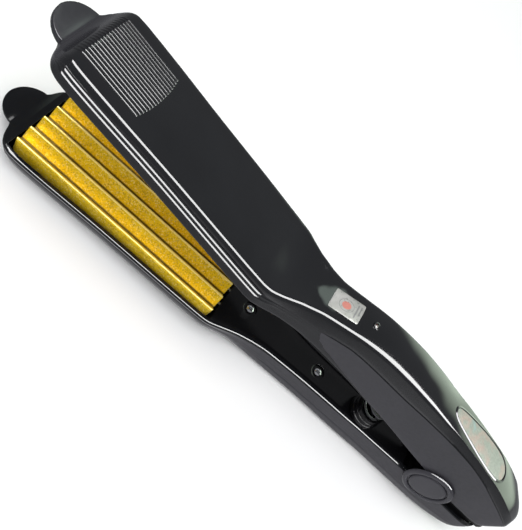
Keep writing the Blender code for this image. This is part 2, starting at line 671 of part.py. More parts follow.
def build_lower_arm():
    arm = Arm("lower_arm_frame", -1, REST_TILT)
    body = housing(arm, "lower_housing", LOWER_SHELL)
    cut(body, gland_notch(arm))
    cover = inner_cover(arm, "lower_inner_cover", LOWER_SHELL)
    cut(cover, turned(arm, "spring_cup_hole", ((CUP_BODY + GAP, 0), (CUP_BODY + GAP, 12)),
                      (SPRING_X, 0, 0), "out", None, 32))
    for place, x in zip(("front", "rear"), SCREWS_X):
        cover_screw(arm, f"lower_cover_screw_{place}", LOWER_SHELL, x)
    heated_head(arm, "lower")
    route = ((147.0, 7.75), (142.0, 8.45), (133.0, 8.9), (118.0, 10.2), (100.0, 14.5), (80.0, 17.4),
             (60.0, 18.2), (30.0, 18.2), (8.0, 17.6), (-13.6, 15.5))
    heater_lead(arm, "lower_lead_live", 1, route)
    heater_lead(arm, "lower_lead_neutral", -1, route)
    lower_hinge_block(arm)
    hinge_pin(arm)
    hinge_cap(arm, "near_hinge_cap", 1)
    hinge_cap(arm, "far_hinge_cap", -1)
    cord_gland(arm)
    terminal_block(arm)
    spring_cup(arm)
    return_spring(arm)


def build_upper_arm():
    arm = Arm("upper_arm_frame", 1, REST_TILT - OPENING)
    body = housing(arm, "upper_housing", UPPER_SHELL)
    handle_badge(arm, body)
    label(arm, body)
    pilot_light(arm, body)
    inner_cover(arm, "upper_inner_cover", UPPER_SHELL)
    for place, x in zip(("front", "rear"), SCREWS_X):
        cover_screw(arm, f"upper_cover_screw_{place}", UPPER_SHELL, x)
    heated_head(arm, "upper")
    route = ((147.0, 7.75), (142.0, 8.45), (133.0, 8.9), (118.0, 9.6), (105.0, 12.0), (95.0, 15.0),
             (85.0, 17.7), (76.6, 18.8))
    heater_lead(arm, "upper_lead_live", 1, route)
    heater_lead(arm, "upper_lead_neutral", -1, route)
    upper_hinge_block(arm)
    spring_peg(arm)
    control_board(arm)


clear_scene()
build_lower_arm()
build_upper_arm()
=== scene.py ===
import json
import math

import bmesh
import bpy
from mathutils import Matrix, Vector

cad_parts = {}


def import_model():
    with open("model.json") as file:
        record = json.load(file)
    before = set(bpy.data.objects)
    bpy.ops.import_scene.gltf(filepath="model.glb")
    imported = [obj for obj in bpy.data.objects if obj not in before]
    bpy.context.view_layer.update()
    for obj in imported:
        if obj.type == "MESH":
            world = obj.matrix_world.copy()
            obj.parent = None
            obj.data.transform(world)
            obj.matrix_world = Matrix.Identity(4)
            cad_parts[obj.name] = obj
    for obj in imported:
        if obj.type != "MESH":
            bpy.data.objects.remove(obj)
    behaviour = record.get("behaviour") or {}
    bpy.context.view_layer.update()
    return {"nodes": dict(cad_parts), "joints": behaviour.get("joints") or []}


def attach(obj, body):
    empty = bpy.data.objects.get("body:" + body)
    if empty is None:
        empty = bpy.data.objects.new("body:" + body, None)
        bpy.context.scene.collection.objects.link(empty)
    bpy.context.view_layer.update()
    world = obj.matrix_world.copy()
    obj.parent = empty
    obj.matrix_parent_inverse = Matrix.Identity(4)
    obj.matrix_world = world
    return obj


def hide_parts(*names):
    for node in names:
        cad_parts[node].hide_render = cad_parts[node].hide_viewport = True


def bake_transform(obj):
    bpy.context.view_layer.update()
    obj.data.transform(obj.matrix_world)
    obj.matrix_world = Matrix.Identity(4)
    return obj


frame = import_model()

# Every arm piece is drawn in its arm's own frame, in millimetres: the hinge axis is Y at the
# origin, X runs to the finger tab and "out" is the distance from the plane where the arms meet.
MM = 0.001
OPENING = 12.88
REST_TILT = 3.0
HINGE = Vector(frame["joints"][0]["pos_m"])
REAR_END = -37.6
TAB_CENTRE = 245.4
TAB_RADIUS = 12.0
WALL = 1.6
COVER_RECESS = 0.6      # inner cover's face, outward of the rim
COVER_MARGIN = 0.9      # around the inner cover, inside the wall
SCREWS_X = (("front", 117.0), ("rear", 73.0))
SPRING_X = 43.5
GLAND_OUT = 4.6         # the cord outlet's middle line
GLAND_HOLE = 5.5

# Every table below is (x, value) knots along an arm. First the outline, seen from above.
WIDTHS = (
    (246.9, 12.1), (246.4, 12.9), (245.9, 14), (245.2, 16.2), (244, 18.9), (242.4, 21.1), (240, 22.7),
    (236.5, 23.6), (232, 23.8), (188, 22.7), (150, 22.3), (134, 22), (130, 21.6), (125, 19.9),
    (120, 17.8), (115, 15.9), (110, 14.4), (105, 13.2), (100, 12.3), (90, 11.2), (75, 10.3), (55, 9.8),
    (40, 9.4), (-24, 9.4), (-30, 8.9), (-33.5, 7.4), (-36.2, 4.9), (REAR_END, 2.2))
# The open edge, and the highest line of the outside
RIM_FRONT = (
    (258, 0.7), (246, 0.8), (236, 1.2), (125, 1.8), (100, 2.4), (90, 3.1), (75, 3.6), (60, 3.9),
    (45, 4.4), (30, 4.5), (-9, 4.5))
RIM_LOWER = RIM_FRONT + ((-16, 4.9), (-30, 5.7), (REAR_END, 6.2))
RIM_UPPER = RIM_FRONT + ((-12, 4.6), (-20, 5.8), (-30, 8), (-33.5, 9.6), (-36.2, 12.6), (REAR_END, 15.8))
CROWN_LOWER = (
    (258, 2.6), (250, 2.8), (247, 3.1), (245.5, 3.9), (244, 5.6), (242, 8.9), (240, 11.1), (238, 11.88),
    (228, 12.38), (135, 12.7), (122, 13.4), (109, 16.8), (96, 19.2), (81, 19.95), (62, 20.7), (48, 21.8),
    (35, 22.604), (24, 23.18), (10, 23.914), (-5, 24.7), (-16, 24.1), (-25, 21.8), (-31, 18.7),
    (-35, 15.2), (REAR_END, 11))
CROWN_UPPER = (
    (258, 2.6), (250, 2.8), (247, 3.1), (245.5, 3.9), (244, 5.4), (242, 8.4), (240, 10.4), (238, 11),
    (228, 11.2), (200, 11.7), (150, 12.5), (138, 12.2), (128, 11.8), (121, 12.9), (114, 15.4),
    (108, 18.5), (102, 21.6), (95, 25.1), (88, 28.2), (80, 30.9), (70, 33.1), (58, 34.7), (45, 35.3),
    (20, 35.1), (0, 34.2), (-10, 33.1), (-20, 31.2), (-28, 28.6), (-33.5, 25.4), (-36.2, 22.3),
    (REAR_END, 19.3))
# Height of the shoulder as a share of the shell's depth, and how far it lies inside the rim
SHOULDER_LOWER = (
    (258, 0.85), (246, 0.88), (240, 0.93), (134, 0.955), (110, 0.93), (60, 0.94), (REAR_END, 0.92))
SHOULDER_UPPER = (
    (258, 0.85), (246, 0.86), (240, 0.9), (200, 0.93), (150, 0.955), (135, 1.02), (125, 1.12),
    (118, 1.12), (112, 1.05), (105, 0.985), (95, 0.965), (60, 0.965), (40, 0.966), (29, 0.982),
    (0, 0.982), (-20, 0.955), (REAR_END, 0.84))
LEAN_LOWER = (
    (258, 0.6), (246, 1.2), (238, 4.5), (134, 4.5), (118, 4), (100, 2.9), (80, 2.4), (40, 2.2),
    (-20, 2.2), (REAR_END, 0.9))
LEAN_UPPER = (
    (258, 0.6), (246, 1.2), (243, 4), (238, 4.2), (200, 3.6), (134, 3.2), (115, 3.6), (108, 3.7),
    (100, 3), (90, 2.4), (80, 1.9), (60, 1.4), (-20, 1.4), (-28, 2.6), (-33.5, 3), (REAR_END, 1.5))
# Height of the side wall, and how far its top lies inside the rim
SIDE_LOWER = (
    (258, 1.5), (246, 1.9), (244, 3), (241, 5.6), (238, 6.6), (134, 7), (118, 8.2), (100, 11.5),
    (80, 12.6), (40, 14), (-5, 15.6), (-25, 13.5), (-33, 11), (REAR_END, 8.6))
SIDE_UPPER = (
    (258, 1.5), (246, 1.9), (244, 3.4), (241, 6.8), (238, 8.2), (200, 8.6), (134, 8.9), (122, 9.4),
    (112, 10.6), (100, 13.2), (93, 16), (86, 18.9), (68, 22), (58, 23.4), (41, 26.5), (30, 28.5),
    (22.5, 29.5), (11, 30.2), (0.5, 29.4), (-11.5, 27.2), (-21, 25.2), (-28, 23.2), (-33.5, 20.6),
    (REAR_END, 17.4))
LEAN_SIDE = (
    (258, 0.1), (246, 0.4), (241, 1.5), (236, 2.1), (134, 2.1), (122, 1.5), (110, 0.9), (100, 0.5),
    (60, 0.25), (-20, 0.25), (REAR_END, 0.2))
# Radius of the shoulder
SHOULDER_TURN = (
    (258, 0.3), (246, 0.5), (240, 1.9), (232, 2.4), (134, 2.4), (112, 2.7), (90, 2.6), (50, 2.4),
    (38, 1.7), (32, 0.5), (27, 0.05), (REAR_END, 0.05))
# Two ledges along the side of the upper head: share of their full size, width, places up the
# side wall, places of the plain points after each, and the steps across one
LEDGE_PRESENCE = ((241, 0), (237, 1), (132, 1), (123, 0))
LEDGE = 0.6
LEDGE_PLACES = ((0.56, (0.72, 0.78)), (0.81, (0.9,)))
LEDGE_STEPS = ((0, 0), (0.1, 0.1), (0.92, 0.34), (1, 0.36))
# The crease above the handle's side, and the rim's bevel as (inward, up) shares
CREASE_PRESENCE = ((101, 0), (94, 1), (-30, 1), (-37, 0.3))
CREASE = 0.28
RIM_BEVEL = ((4, 1), (-8, 0.25))
RIM_SECTION = ((0.95, 0), (0.9, 0.02), (0.36, 0.21), (0.16, 0.35), (0.04, 0.58), (0, 0.85))
# Where the satin part of each side begins and ends
FACET_FLOOR = (
    (101, 13.2), (98.5, 10.4), (96, 8.2), (90.5, 6.9), (85, 6.2), (78, 5.5), (70, 5.1), (60, 5),
    (-9, 5.2), (-20, 6.6), (-30, 8.8), (REAR_END, 16.6))
FACET_FLOOR_LOWER = (
    (126, 8), (118, 4.5), (105, 3.4), (90, 3.9), (60, 4.7), (-9, 5.3), (-30, 6.5), (REAR_END, 7))
FACET_TOP_LOWER = ((126, 8), (118, 9.5), (105, 16), (90, 19), (60, 20), (-9, 23), (REAR_END, 16))


# ---- curves

def along(knots, x):
    """A smooth value at x through (x, value) knots, without overshoot between them."""
    pts = sorted(knots)
    if x <= pts[0][0]:
        return pts[0][1]
    if x >= pts[-1][0]:
        return pts[-1][1]
    slopes = [(b[1] - a[1]) / (b[0] - a[0]) for a, b in zip(pts, pts[1:])]
    tangents = [slopes[0]]
    for before, after in zip(slopes, slopes[1:]):
        same_way = before * after > 0
        tangents.append(2 * before * after / (before + after) if same_way else 0.0)
    tangents.append(slopes[-1])
    i = max(k for k in range(len(slopes)) if pts[k][0] <= x)
    width = pts[i + 1][0] - pts[i][0]
    t = (x - pts[i][0]) / width
    start, end = pts[i][1], pts[i + 1][1]
    return ((1 + 2 * t) * (1 - t) ** 2 * start + t * (1 - t) ** 2 * width * tangents[i]
            + t * t * (3 - 2 * t) * end + t * t * (t - 1) * width * tangents[i + 1])


def half_width(x):
    """Half of an arm's width at x, with the finger tab's arc in front."""
    if x > WIDTHS[0][0]:
        return math.sqrt(max(TAB_RADIUS ** 2 - (x - TAB_CENTRE) ** 2, 0.04))
    return along(WIDTHS, x)


def spread(start, end, count):
    """Evenly spaced values, both ends included."""
    return [start + (end - start) * k / (count - 1) for k in range(count)]


class Shell:
    """The outer shape of one arm's housing, drawn finely."""

    FULL_DEPTH = 6.0                # details shrink where the shell is shallower than this
    TURN_START = math.radians(62)   # slope where the side runs into the shoulder
    TURN_MIDDLE = math.radians(19)  # slope at the shoulder's own point
    TOP_POINTS = 15                 # the points of a half section that skin() looks at

    def __init__(self, rim, crown, side, shoulder, lean, ledges):
        self.rim, self.crown, self.side, self.shoulder, self.lean = rim, crown, side, shoulder, lean
        self.ledges = ledges

    def half_section(self, x):
        """(y, out) points from the rim's outer edge to the middle line."""
        width, rim, crown = half_width(x), along(self.rim, x), along(self.crown, x)
        depth = crown - rim
        small = min(1.0, depth / self.FULL_DEPTH)
        side_out = along(self.side, x)
        side_y = width - along(LEAN_SIDE, x) * small
        wide = along(RIM_BEVEL, x) * small
        points = [(width - inward * wide, rim + up * small) for inward, up in RIM_SECTION]
        start = points[-1][1]
        ledge = LEDGE * along(LEDGE_PRESENCE, x) if self.ledges else 0.0
        leaning = width - side_y - 2 * ledge
        height = side_out - start
        for t in (0.1, 0.3, 0.5):
            points.append((width - leaning * t, start + height * t))
        for passed, (place, plain) in enumerate(LEDGE_PLACES):
            y = width - leaning * place - passed * ledge
            for across, up in LEDGE_STEPS:
                points.append((y - across * ledge, start + height * place + up * small))
            for t in plain:
                points.append((width - leaning * t - (passed + 1) * ledge, start + height * t))
        groove = CREASE * along(CREASE_PRESENCE, x) * small
        for inward, up in ((0, -0.3), (groove, -0.12), (groove, 0.08)):
            points.append((side_y - inward, side_out + up * small))
        return points + self.over_the_top(x, width, small, side_y, side_out)

    def over_the_top(self, x, width, small, side_y, side_out):
        """Points from above the side wall, round the shoulder and up to the middle line."""
        rim, crown, turn = along(self.rim, x), along(self.crown, x), along(SHOULDER_TURN, x)
        shoulder_y = max(width - along(self.lean, x), 0.3 * width)
        shoulder_out = rim + along(self.shoulder, x) * (crown - rim)
        centre_y = shoulder_y - turn * math.sin(self.TURN_MIDDLE)
        centre_out = shoulder_out - turn * math.cos(self.TURN_MIDDLE)

        def on_turn(slope):
            return centre_y + turn * math.sin(slope), centre_out + turn * math.cos(slope)

        first = on_turn(self.TURN_START)
        points = []
        for t in (0.12, 0.3, 0.55, 0.8):
            bulge = 0.12 * small * math.sin(math.pi * t)
            points.append((side_y + (first[0] - side_y) * t + bulge, side_out + (first[1] - side_out) * t))
        last = 0.07
        for _ in range(6):              # closes in on the slope where the shoulder meets the top
            edge_y, edge_out = on_turn(last)
            last = max(-0.5, min(0.3, math.atan(2 * (crown - edge_out) / edge_y)))
        for k in range(10):
            points.append(on_turn(self.TURN_START + (last - self.TURN_START) * k / 9))
        edge_y, edge_out = points[-1]
        for t in (0.08, 0.2, 0.35, 0.5, 0.65, 0.8, 0.92, 1.0):
            points.append((edge_y * (1 - t), edge_out + (crown - edge_out) * (1 - (1 - t) ** 2)))
        return points

    def skin(self, x, y):
        """How far out the face is at x and y, over the top."""
        return along(self.half_section(x)[-self.TOP_POINTS:], abs(y))


LOWER = Shell(RIM_LOWER, CROWN_LOWER, SIDE_LOWER, SHOULDER_LOWER, LEAN_LOWER, False)
UPPER = Shell(RIM_UPPER, CROWN_UPPER, SIDE_UPPER, SHOULDER_UPPER, LEAN_UPPER, True)


# ---- pieces

class Arm:
    """One arm: its shell, the side of the parting plane that it lies on, and its placing."""

    def __init__(self, name, shell, side, angle):
        self.name, self.shell, self.side = name, shell, side
        self.matrix = Matrix.Translation(HINGE) @ Matrix.Rotation(math.radians(angle), 4, "Y")

    def point(self, x, y, out):
        return Vector((x, y, self.side * out)) * MM


LOWER_ARM = Arm("lower", LOWER, -1, REST_TILT)
UPPER_ARM = Arm("upper", UPPER, 1, REST_TILT - OPENING)


SMOOTH = 32.0           # degrees up to which an edge is shaded smooth


def arm_object(arm, name, verts, faces):
    """An object from points in the arm's frame, its faces turned outward."""
    mesh = bpy.data.meshes.new(name)
    mesh.from_pydata([arm.matrix @ arm.point(*v) for v in verts], [], faces)
    bm = bmesh.new()
    bm.from_mesh(mesh)
    bmesh.ops.recalc_face_normals(bm, faces=bm.faces)
    bm.to_mesh(mesh)
    bm.free()
    obj = bpy.data.objects.new(name, mesh)
    bpy.context.scene.collection.objects.link(obj)
    return obj


def shade(mesh, smooth):
    mesh.shade_smooth()
    mesh.set_sharp_from_angle(angle=math.radians(smooth))


def piece(arm, name, verts, faces, material, replaces=(), smooth=SMOOTH, ride=True):
    """A mesh in the arm's frame that rides on it and stands for CAD nodes."""
    obj = arm_object(arm, name, verts, faces)
    plan = obj.data.attributes.new("plan", "FLOAT_VECTOR", "POINT")
    for spot, v in zip(plan.data, verts):
        spot.vector = v
    obj.data.materials.append(material)
    shade(obj.data, smooth)
    if ride:
        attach(obj, arm.name + "_arm")
    if replaces:
        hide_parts(*replaces)
    return obj


def rings_to_mesh(rings, closed=True, caps=True):
    """Points and faces of a skin over rings of equal count."""
    count = len(rings[0])
    verts = [p for ring in rings for p in ring]
    faces = []
    for i in range(len(rings) - 1):
        for k in range(count if closed else count - 1):
            a, b = i * count + k, i * count + (k + 1) % count
            faces.append((a, b, b + count, a + count))
    if caps:
        faces += [tuple(range(count)), tuple(range(len(verts) - count, len(verts)))]
    return verts, faces


def loft(arm, name, rings, material, replaces=(), smooth=SMOOTH):
    verts, faces = rings_to_mesh(rings)
    return piece(arm, name, verts, faces, material, replaces, smooth)


def circle(radius, place, centre, axis, sides):
    """A ring around a line along x, y or out, at a place on that line."""
    ring = []
    for k in range(sides):
        angle = 2 * math.pi * (k + 0.5) / sides
        across, up = radius * math.cos(angle), radius * math.sin(angle)
        if axis == "y":
            ring.append((centre[0] + across, place, centre[2] + up))
        elif axis == "x":
            ring.append((place, centre[1] + across, centre[2] + up))
        else:
            ring.append((centre[0] + across, centre[1] + up, place))
    return ring


def turned(arm, name, steps, centre, axis, material, replaces, sides):
    """A round piece from (radius, place) steps."""
    rings = [circle(radius, place, centre, axis, sides) for radius, place in steps]
    return loft(arm, name, rings, material, replaces)


def rounded(steps, turn=0.25, count=4):
    """Steps of (radius, place) with each corner turned by a small radius."""
    out = [steps[0]]
    for before, here, after in zip(steps, steps[1:], steps[2:]):
        a, b, c = Vector(before), Vector(here), Vector(after)
        reach = min(turn, (a - b).length * 0.45, (c - b).length * 0.45)
        start, end = b + (a - b).normalized() * reach, b + (c - b).normalized() * reach
        for k in range(count + 1):
            t = k / count
            p = start * (1 - t) ** 2 + b * (2 * t * (1 - t)) + end * t * t
            out.append((p.x, p.y))
    out.append(steps[-1])
    return out


def tube(path, radius, sides):
    """Rings of a round wire through points in the arm's frame."""
    points = [Vector(p) for p in path]
    turns = [2 * math.pi * k / sides for k in range(sides)]
    rings = []
    for i, here in enumerate(points):
        tangent = (points[min(i + 1, len(points) - 1)] - points[max(i - 1, 0)]).normalized()
        outward = tangent.cross(Vector((0, 0, 1))).normalized()
        up = tangent.cross(outward)
        rings.append([tuple(here + outward * (radius * math.cos(a)) + up * (radius * math.sin(a)))
                      for a in turns])
    return rings


def cut(obj, arm, rings):
    """Cuts the solid through some rings out of a piece."""
    cutter = arm_object(arm, "cutter", *rings_to_mesh(rings))
    change = obj.modifiers.new("cut", "BOOLEAN")
    change.operation, change.solver, change.object = "DIFFERENCE", "EXACT", cutter
    bpy.context.view_layer.update()
    graph = bpy.context.evaluated_depsgraph_get()
    result = bpy.data.meshes.new_from_object(obj.evaluated_get(graph))
    obj.modifiers.clear()
    old, obj.data = obj.data, result
    result.name = old.name
    bpy.data.meshes.remove(old)
    bpy.data.objects.remove(cutter, do_unlink=True)
    shade(obj.data, SMOOTH)


# ---- materials

MIX_A, MIX_B, MIX_RESULT = 6, 7, 2      # the colour sockets of a Mix node
GLOSS_DARK, GLOSS_LIGHT = (0.0062, 0.0066, 0.0078), (0.0085, 0.009, 0.0105)
SATIN_DARK, SATIN_LIGHT = (0.0315, 0.031, 0.0375), (0.0385, 0.0375, 0.045)
HALF_SATIN = 0.12               # facet runs from -HALF_SATIN, all gloss, to HALF_SATIN, all satin
GLOSSY, SHADED = -1.0, -4.0     # facet well away from the satin; where shaded, it shines less


class Nodes:
    """Short names for building a node material."""

    def __init__(self, name):
        self.material = bpy.data.materials.new(name)
        self.material.use_nodes = True
        self.tree = self.material.node_tree
        self.shader = self.tree.nodes["Principled BSDF"]
        self.coords = self.add("ShaderNodeTexCoord").outputs["Object"]

    def add(self, kind, **values):
        node = self.tree.nodes.new(kind)
        for key, value in values.items():
            setattr(node, key, value)
        return node

    def link(self, a, b):
        self.tree.links.new(a, b)

    def feed(self, socket, value):
        """Gives a socket another node's output, an (r, g, b) colour or a number."""
        if isinstance(value, bpy.types.NodeSocket):
            self.link(value, socket)
        elif isinstance(value, tuple):
            socket.default_value = (*value, 1.0)
        else:
            socket.default_value = value

    def set(self, name, value):
        self.feed(self.shader.inputs[name], value)

    def attribute(self, name, output="Fac"):
        return self.add("ShaderNodeAttribute", attribute_name=name).outputs[output]

    def stretched(self, scale):
        mapping = self.add("ShaderNodeMapping")
        mapping.inputs["Scale"].default_value = scale
        self.link(self.coords, mapping.inputs["Vector"])
        return mapping.outputs["Vector"]

    def noise(self, scale, detail=3.0, rough=0.55, vector=None):
        node = self.add("ShaderNodeTexNoise")
        node.inputs["Scale"].default_value = scale
        node.inputs["Detail"].default_value = detail
        node.inputs["Roughness"].default_value = rough
        self.link(vector or self.coords, node.inputs["Vector"])
        return node.outputs["Fac"]

    def smears(self):
        return self.noise(22.0, 5.0, 0.6, self.stretched((0.5, 1.4, 1.0)))

    def cells(self, scale, output="Distance"):
        node = self.add("ShaderNodeTexVoronoi")
        node.inputs["Scale"].default_value = scale
        self.link(self.coords, node.inputs["Vector"])
        return node.outputs[output]

    def grains(self, scale):
        """Two random values for each small cell."""
        split = self.add("ShaderNodeSeparateColor")
        self.link(self.cells(scale, "Color"), split.inputs["Color"])
        return split.outputs[0], split.outputs[1]

    def span(self, source, low, high, to_low, to_high):
        node = self.add("ShaderNodeMapRange")
        for name, value in (("From Min", low), ("From Max", high), ("To Min", to_low), ("To Max", to_high)):
            node.inputs[name].default_value = value
        self.link(source, node.inputs["Value"])
        return node.outputs["Result"]

    def ramp(self, source, stops):
        node = self.add("ShaderNodeValToRGB")
        elements = node.color_ramp.elements
        while len(elements) < len(stops):
            elements.new(0.5)
        for element, (place, colour) in zip(elements, stops):
            element.position = place
            element.color = (*colour, 1.0)
        self.link(source, node.inputs["Fac"])
        return node.outputs["Color"]

    def mix(self, factor, a, b):
        node = self.add("ShaderNodeMix", data_type="RGBA")
        for socket, value in (("Factor", factor), (MIX_A, a), (MIX_B, b)):
            self.feed(node.inputs[socket], value)
        return node.outputs[MIX_RESULT]

    def math(self, operation, a, b):
        node = self.add("ShaderNodeMath", operation=operation)
        for socket, value in zip(node.inputs, (a, b)):
            self.feed(socket, value)
        return node.outputs[0]

    def bump(self, height, strength, distance):
        node = self.add("ShaderNodeBump")
        node.inputs["Strength"].default_value = strength
        node.inputs["Distance"].default_value = distance
        self.link(height, node.inputs["Height"])
        self.link(node.outputs["Normal"], self.shader.inputs["Normal"])


def plastic(name, dark, light, roughness, peel=0.02, grain=0.0, shine=0.42):
    """Moulded plastic: uneven tone, handling marks in the gloss, faint orange peel and grain."""
    n = Nodes(name)
    tone = n.noise(38.0, 4.0)
    n.set("Base Color", n.ramp(tone, ((0.35, dark), (0.7, light))))
    n.set("Roughness", n.span(n.smears(), 0.35, 0.75, roughness * 0.8, roughness * 1.6))
    n.set("Specular IOR Level", shine)
    height = n.noise(420.0, 2.0)
    if grain:
        height = n.math("ADD", height, n.math("MULTIPLY", n.noise(2600.0, 2.0), grain))
    n.bump(height, peel, 0.0004)
    return n.material


def housing_plastic():
    """Gloss black moulding whose handle sides have a satin texture moulded into them."""
    n = Nodes("gloss_black")
    distance = n.attribute("facet")
    satin = n.span(distance, -HALF_SATIN, HALF_SATIN, 0.0, 1.0)
    tone = n.noise(38.0, 4.0)
    gloss_colour = n.ramp(tone, ((0.35, GLOSS_DARK), (0.7, GLOSS_LIGHT)))
    satin_colour = n.ramp(tone, ((0.35, SATIN_DARK), (0.7, SATIN_LIGHT)))
    n.set("Base Color", n.mix(satin, gloss_colour, satin_colour))
    gloss_rough = n.span(n.smears(), 0.35, 0.75, 0.05, 0.1)
    satin_rough = n.span(n.noise(700.0, 3.0), 0.3, 0.7, 0.34, 0.46)
    n.set("Specular IOR Level", n.span(distance, -3.0, -1.5, 0.1, 0.42))
    n.set("Roughness", n.math("ADD", n.math("MULTIPLY", gloss_rough, n.math("SUBTRACT", 1.0, satin)),
                              n.math("MULTIPLY", satin_rough, satin)))
    grain = n.math("MULTIPLY", n.noise(2600.0, 2.0), n.span(satin, 0.0, 1.0, 0.0, 6.0))
    n.bump(n.math("ADD", n.noise(420.0, 2.0), grain), 0.008, 0.0004)
    return n.material


def gold_coating():
    """Gold ceramic coating: warm tone, a fine metallic sparkle, slight polishing along the plate, painted
    shade in the valleys and on the turned-down edges, and painted highlights on the crests.
    """
    n = Nodes("gold_coating")
    tone = n.noise(160.0, 4.0)
    base = n.ramp(tone, ((0.3, (0.84, 0.56, 0.008)), (0.7, (0.94, 0.64, 0.014))))
    first, second = n.grains(2000.0)
    bright = n.span(first, 0.7, 1.0, 0.0, 0.9)
    deep = n.span(second, 0.6, 1.0, 0.0, 0.6)
    speckled = n.mix(deep, n.mix(bright, base, (0.98, 0.78, 0.22)), (0.38, 0.22, 0.01))
    height = n.attribute("ridge")
    # Painted shade: the valleys, and in part the turned-down edges, are mixed towards dark brown.
    painted_valley_shade = n.mix(n.span(height, 0.04, 0.13, 0.92, 0.0), speckled, (0.06, 0.03, 0.006))
    # Painted highlight: the crests are mixed towards pale gold.
    n.set("Base Color", n.mix(n.span(height, 0.92, 0.98, 0.0, 0.75), painted_valley_shade, (1.0, 0.84, 0.34)))
    n.set("Metallic", 0.3)
    n.set("Specular IOR Level", 0.2)
    polish = n.noise(90.0, 3.0, 0.6, n.stretched((0.12, 1.0, 1.0)))
    n.set("Roughness", n.span(polish, 0.3, 0.7, 0.28, 0.38))
    n.bump(n.math("ADD", n.cells(3400.0), n.noise(900.0, 2.0)), 0.3, 0.00006)
    return n.material


def bare_metal(name, colour, roughness):
    """Metal with fine drawn lines along x."""
    n = Nodes(name)
    lines = n.noise(700.0, 3.0, 0.6, n.stretched((0.06, 1.0, 1.0)))
    darker = tuple(c * 0.72 for c in colour)
    n.set("Base Color", n.ramp(lines, ((0.3, darker), (0.7, colour))))
    n.set("Metallic", 1.0)
    n.set("Roughness", n.span(lines, 0.3, 0.7, roughness * 0.8, roughness * 1.3))
    n.bump(lines, 0.08, 0.00005)
    return n.material


def matt(name, dark, light, roughness, scale=500.0, bump=0.2):
    """A dull material with one noise for its tone and its relief."""
    n = Nodes(name)
    tone = n.noise(scale, 4.0)
    n.set("Base Color", n.ramp(tone, ((0.35, dark), (0.65, light))))
    n.set("Roughness", roughness)
    n.bump(tone, bump, 0.0001)
    return n.material


def holographic_film():
    """Iridescent film: silver grain under drifting patches of pale green, pink and cyan."""
    n = Nodes("holographic_film")
    patches = n.noise(75.0, 3.0, 0.55, n.stretched((1.0, 0.7, 1.0)))
    colours = n.ramp(patches, ((0.30, (0.135, 0.16, 0.13)), (0.44, (0.15, 0.17, 0.14)),
                               (0.52, (0.22, 0.16, 0.13)), (0.58, (0.14, 0.16, 0.13)),
                               (0.66, (0.11, 0.22, 0.225)), (0.76, (0.16, 0.17, 0.14))))
    first, second = n.grains(1500.0)
    n.set("Base Color", n.mix(n.span(first, 0.0, 1.0, 0.0, 0.3), colours, (0.27, 0.27, 0.25)))
    n.set("Metallic", 0.1)
    n.set("Specular IOR Level", 0.25)
    n.set("Roughness", n.span(second, 0.0, 1.0, 0.42, 0.6))
    n.bump(n.cells(1500.0), 0.2, 0.00004)
    return n.material


def tinted_lens():
    """Dark red clear plastic over the pilot light."""
    n = Nodes("tinted_lens")
    n.set("Base Color", n.ramp(n.noise(300.0), ((0.3, (0.03, 0.003, 0.003)), (0.7, (0.05, 0.006, 0.005)))))
    n.set("Roughness", n.span(n.noise(600.0), 0.3, 0.7, 0.05, 0.1))
    n.set("Coat Weight", 0.6)
    return n.material


GLOSS = plastic("gloss_trim", GLOSS_DARK, GLOSS_LIGHT, 0.07, 0.008)
HOUSING = housing_plastic()
CAP = plastic("polished_grey", SATIN_DARK, SATIN_LIGHT, 0.1, 0.01, 0.1, 0.4)
INNER = plastic("inner_black", (0.003, 0.003, 0.0036), (0.005, 0.005, 0.0058), 0.16, 0.02, 0.0, 0.22)
MATTE = plastic("matte_black", (0.004, 0.004, 0.0045), (0.008, 0.008, 0.0085), 0.4, 0.1, 0.6, 0.25)
GOLD = gold_coating()
SPRING_STEEL = bare_metal("spring_steel", (0.22, 0.22, 0.23), 0.3)
STEEL = bare_metal("bright_steel", (0.62, 0.62, 0.64), 0.22)
CERAMIC = matt("white_ceramic", (0.70, 0.69, 0.64), (0.84, 0.83, 0.79), 0.6)
MICA = matt("mica", (0.45, 0.38, 0.26), (0.66, 0.58, 0.42), 0.5, 180.0)
BRAID = matt("glass_braid", (0.55, 0.55, 0.53), (0.82, 0.82, 0.80), 0.65, 2600.0, 0.6)
BOARD = matt("board_green", (0.02, 0.10, 0.045), (0.04, 0.17, 0.08), 0.35, 240.0)
RUBBER = matt("gland_rubber", (0.012, 0.012, 0.012), (0.022, 0.022, 0.022), 0.7, 900.0)
FOIL = bare_metal("fuse_case", (0.72, 0.72, 0.70), 0.35)
FILM = holographic_film()
LENS = tinted_lens()


# ---- housings

def stations():
    """Places along an arm, closer together where the shape turns."""
    tab_angles = (2, 6, 11, 17, 24, 32, 41, 51, 62, 72)
    places = [TAB_CENTRE + TAB_RADIUS * math.cos(math.radians(a)) for a in tab_angles]
    places += [248.2, 247.7, 247.3] + spread(247, 245.2, 7) + [244.8, 244.4, 244, 243.5]
    places += spread(243, 232, 23) + spread(230.5, 140, 62) + spread(139, 84, 56)
    places += spread(82.5, -14, 66) + spread(-15, -30, 14) + spread(-31, -36.8, 13)
    return places + [-37.2, REAR_END]


STATIONS = stations()
CAVITY_FRONT = 240.6
CAVITY_REAR = -35.0
UPPER_FACET_END, LOWER_FACET_END = 101.0, 126.0
TAB_FACET = 241.0               # the upper tab turns partly satin from here on
LOWER_TAB_FACE = 239.0          # the lower tab's inner face is shaded from here on


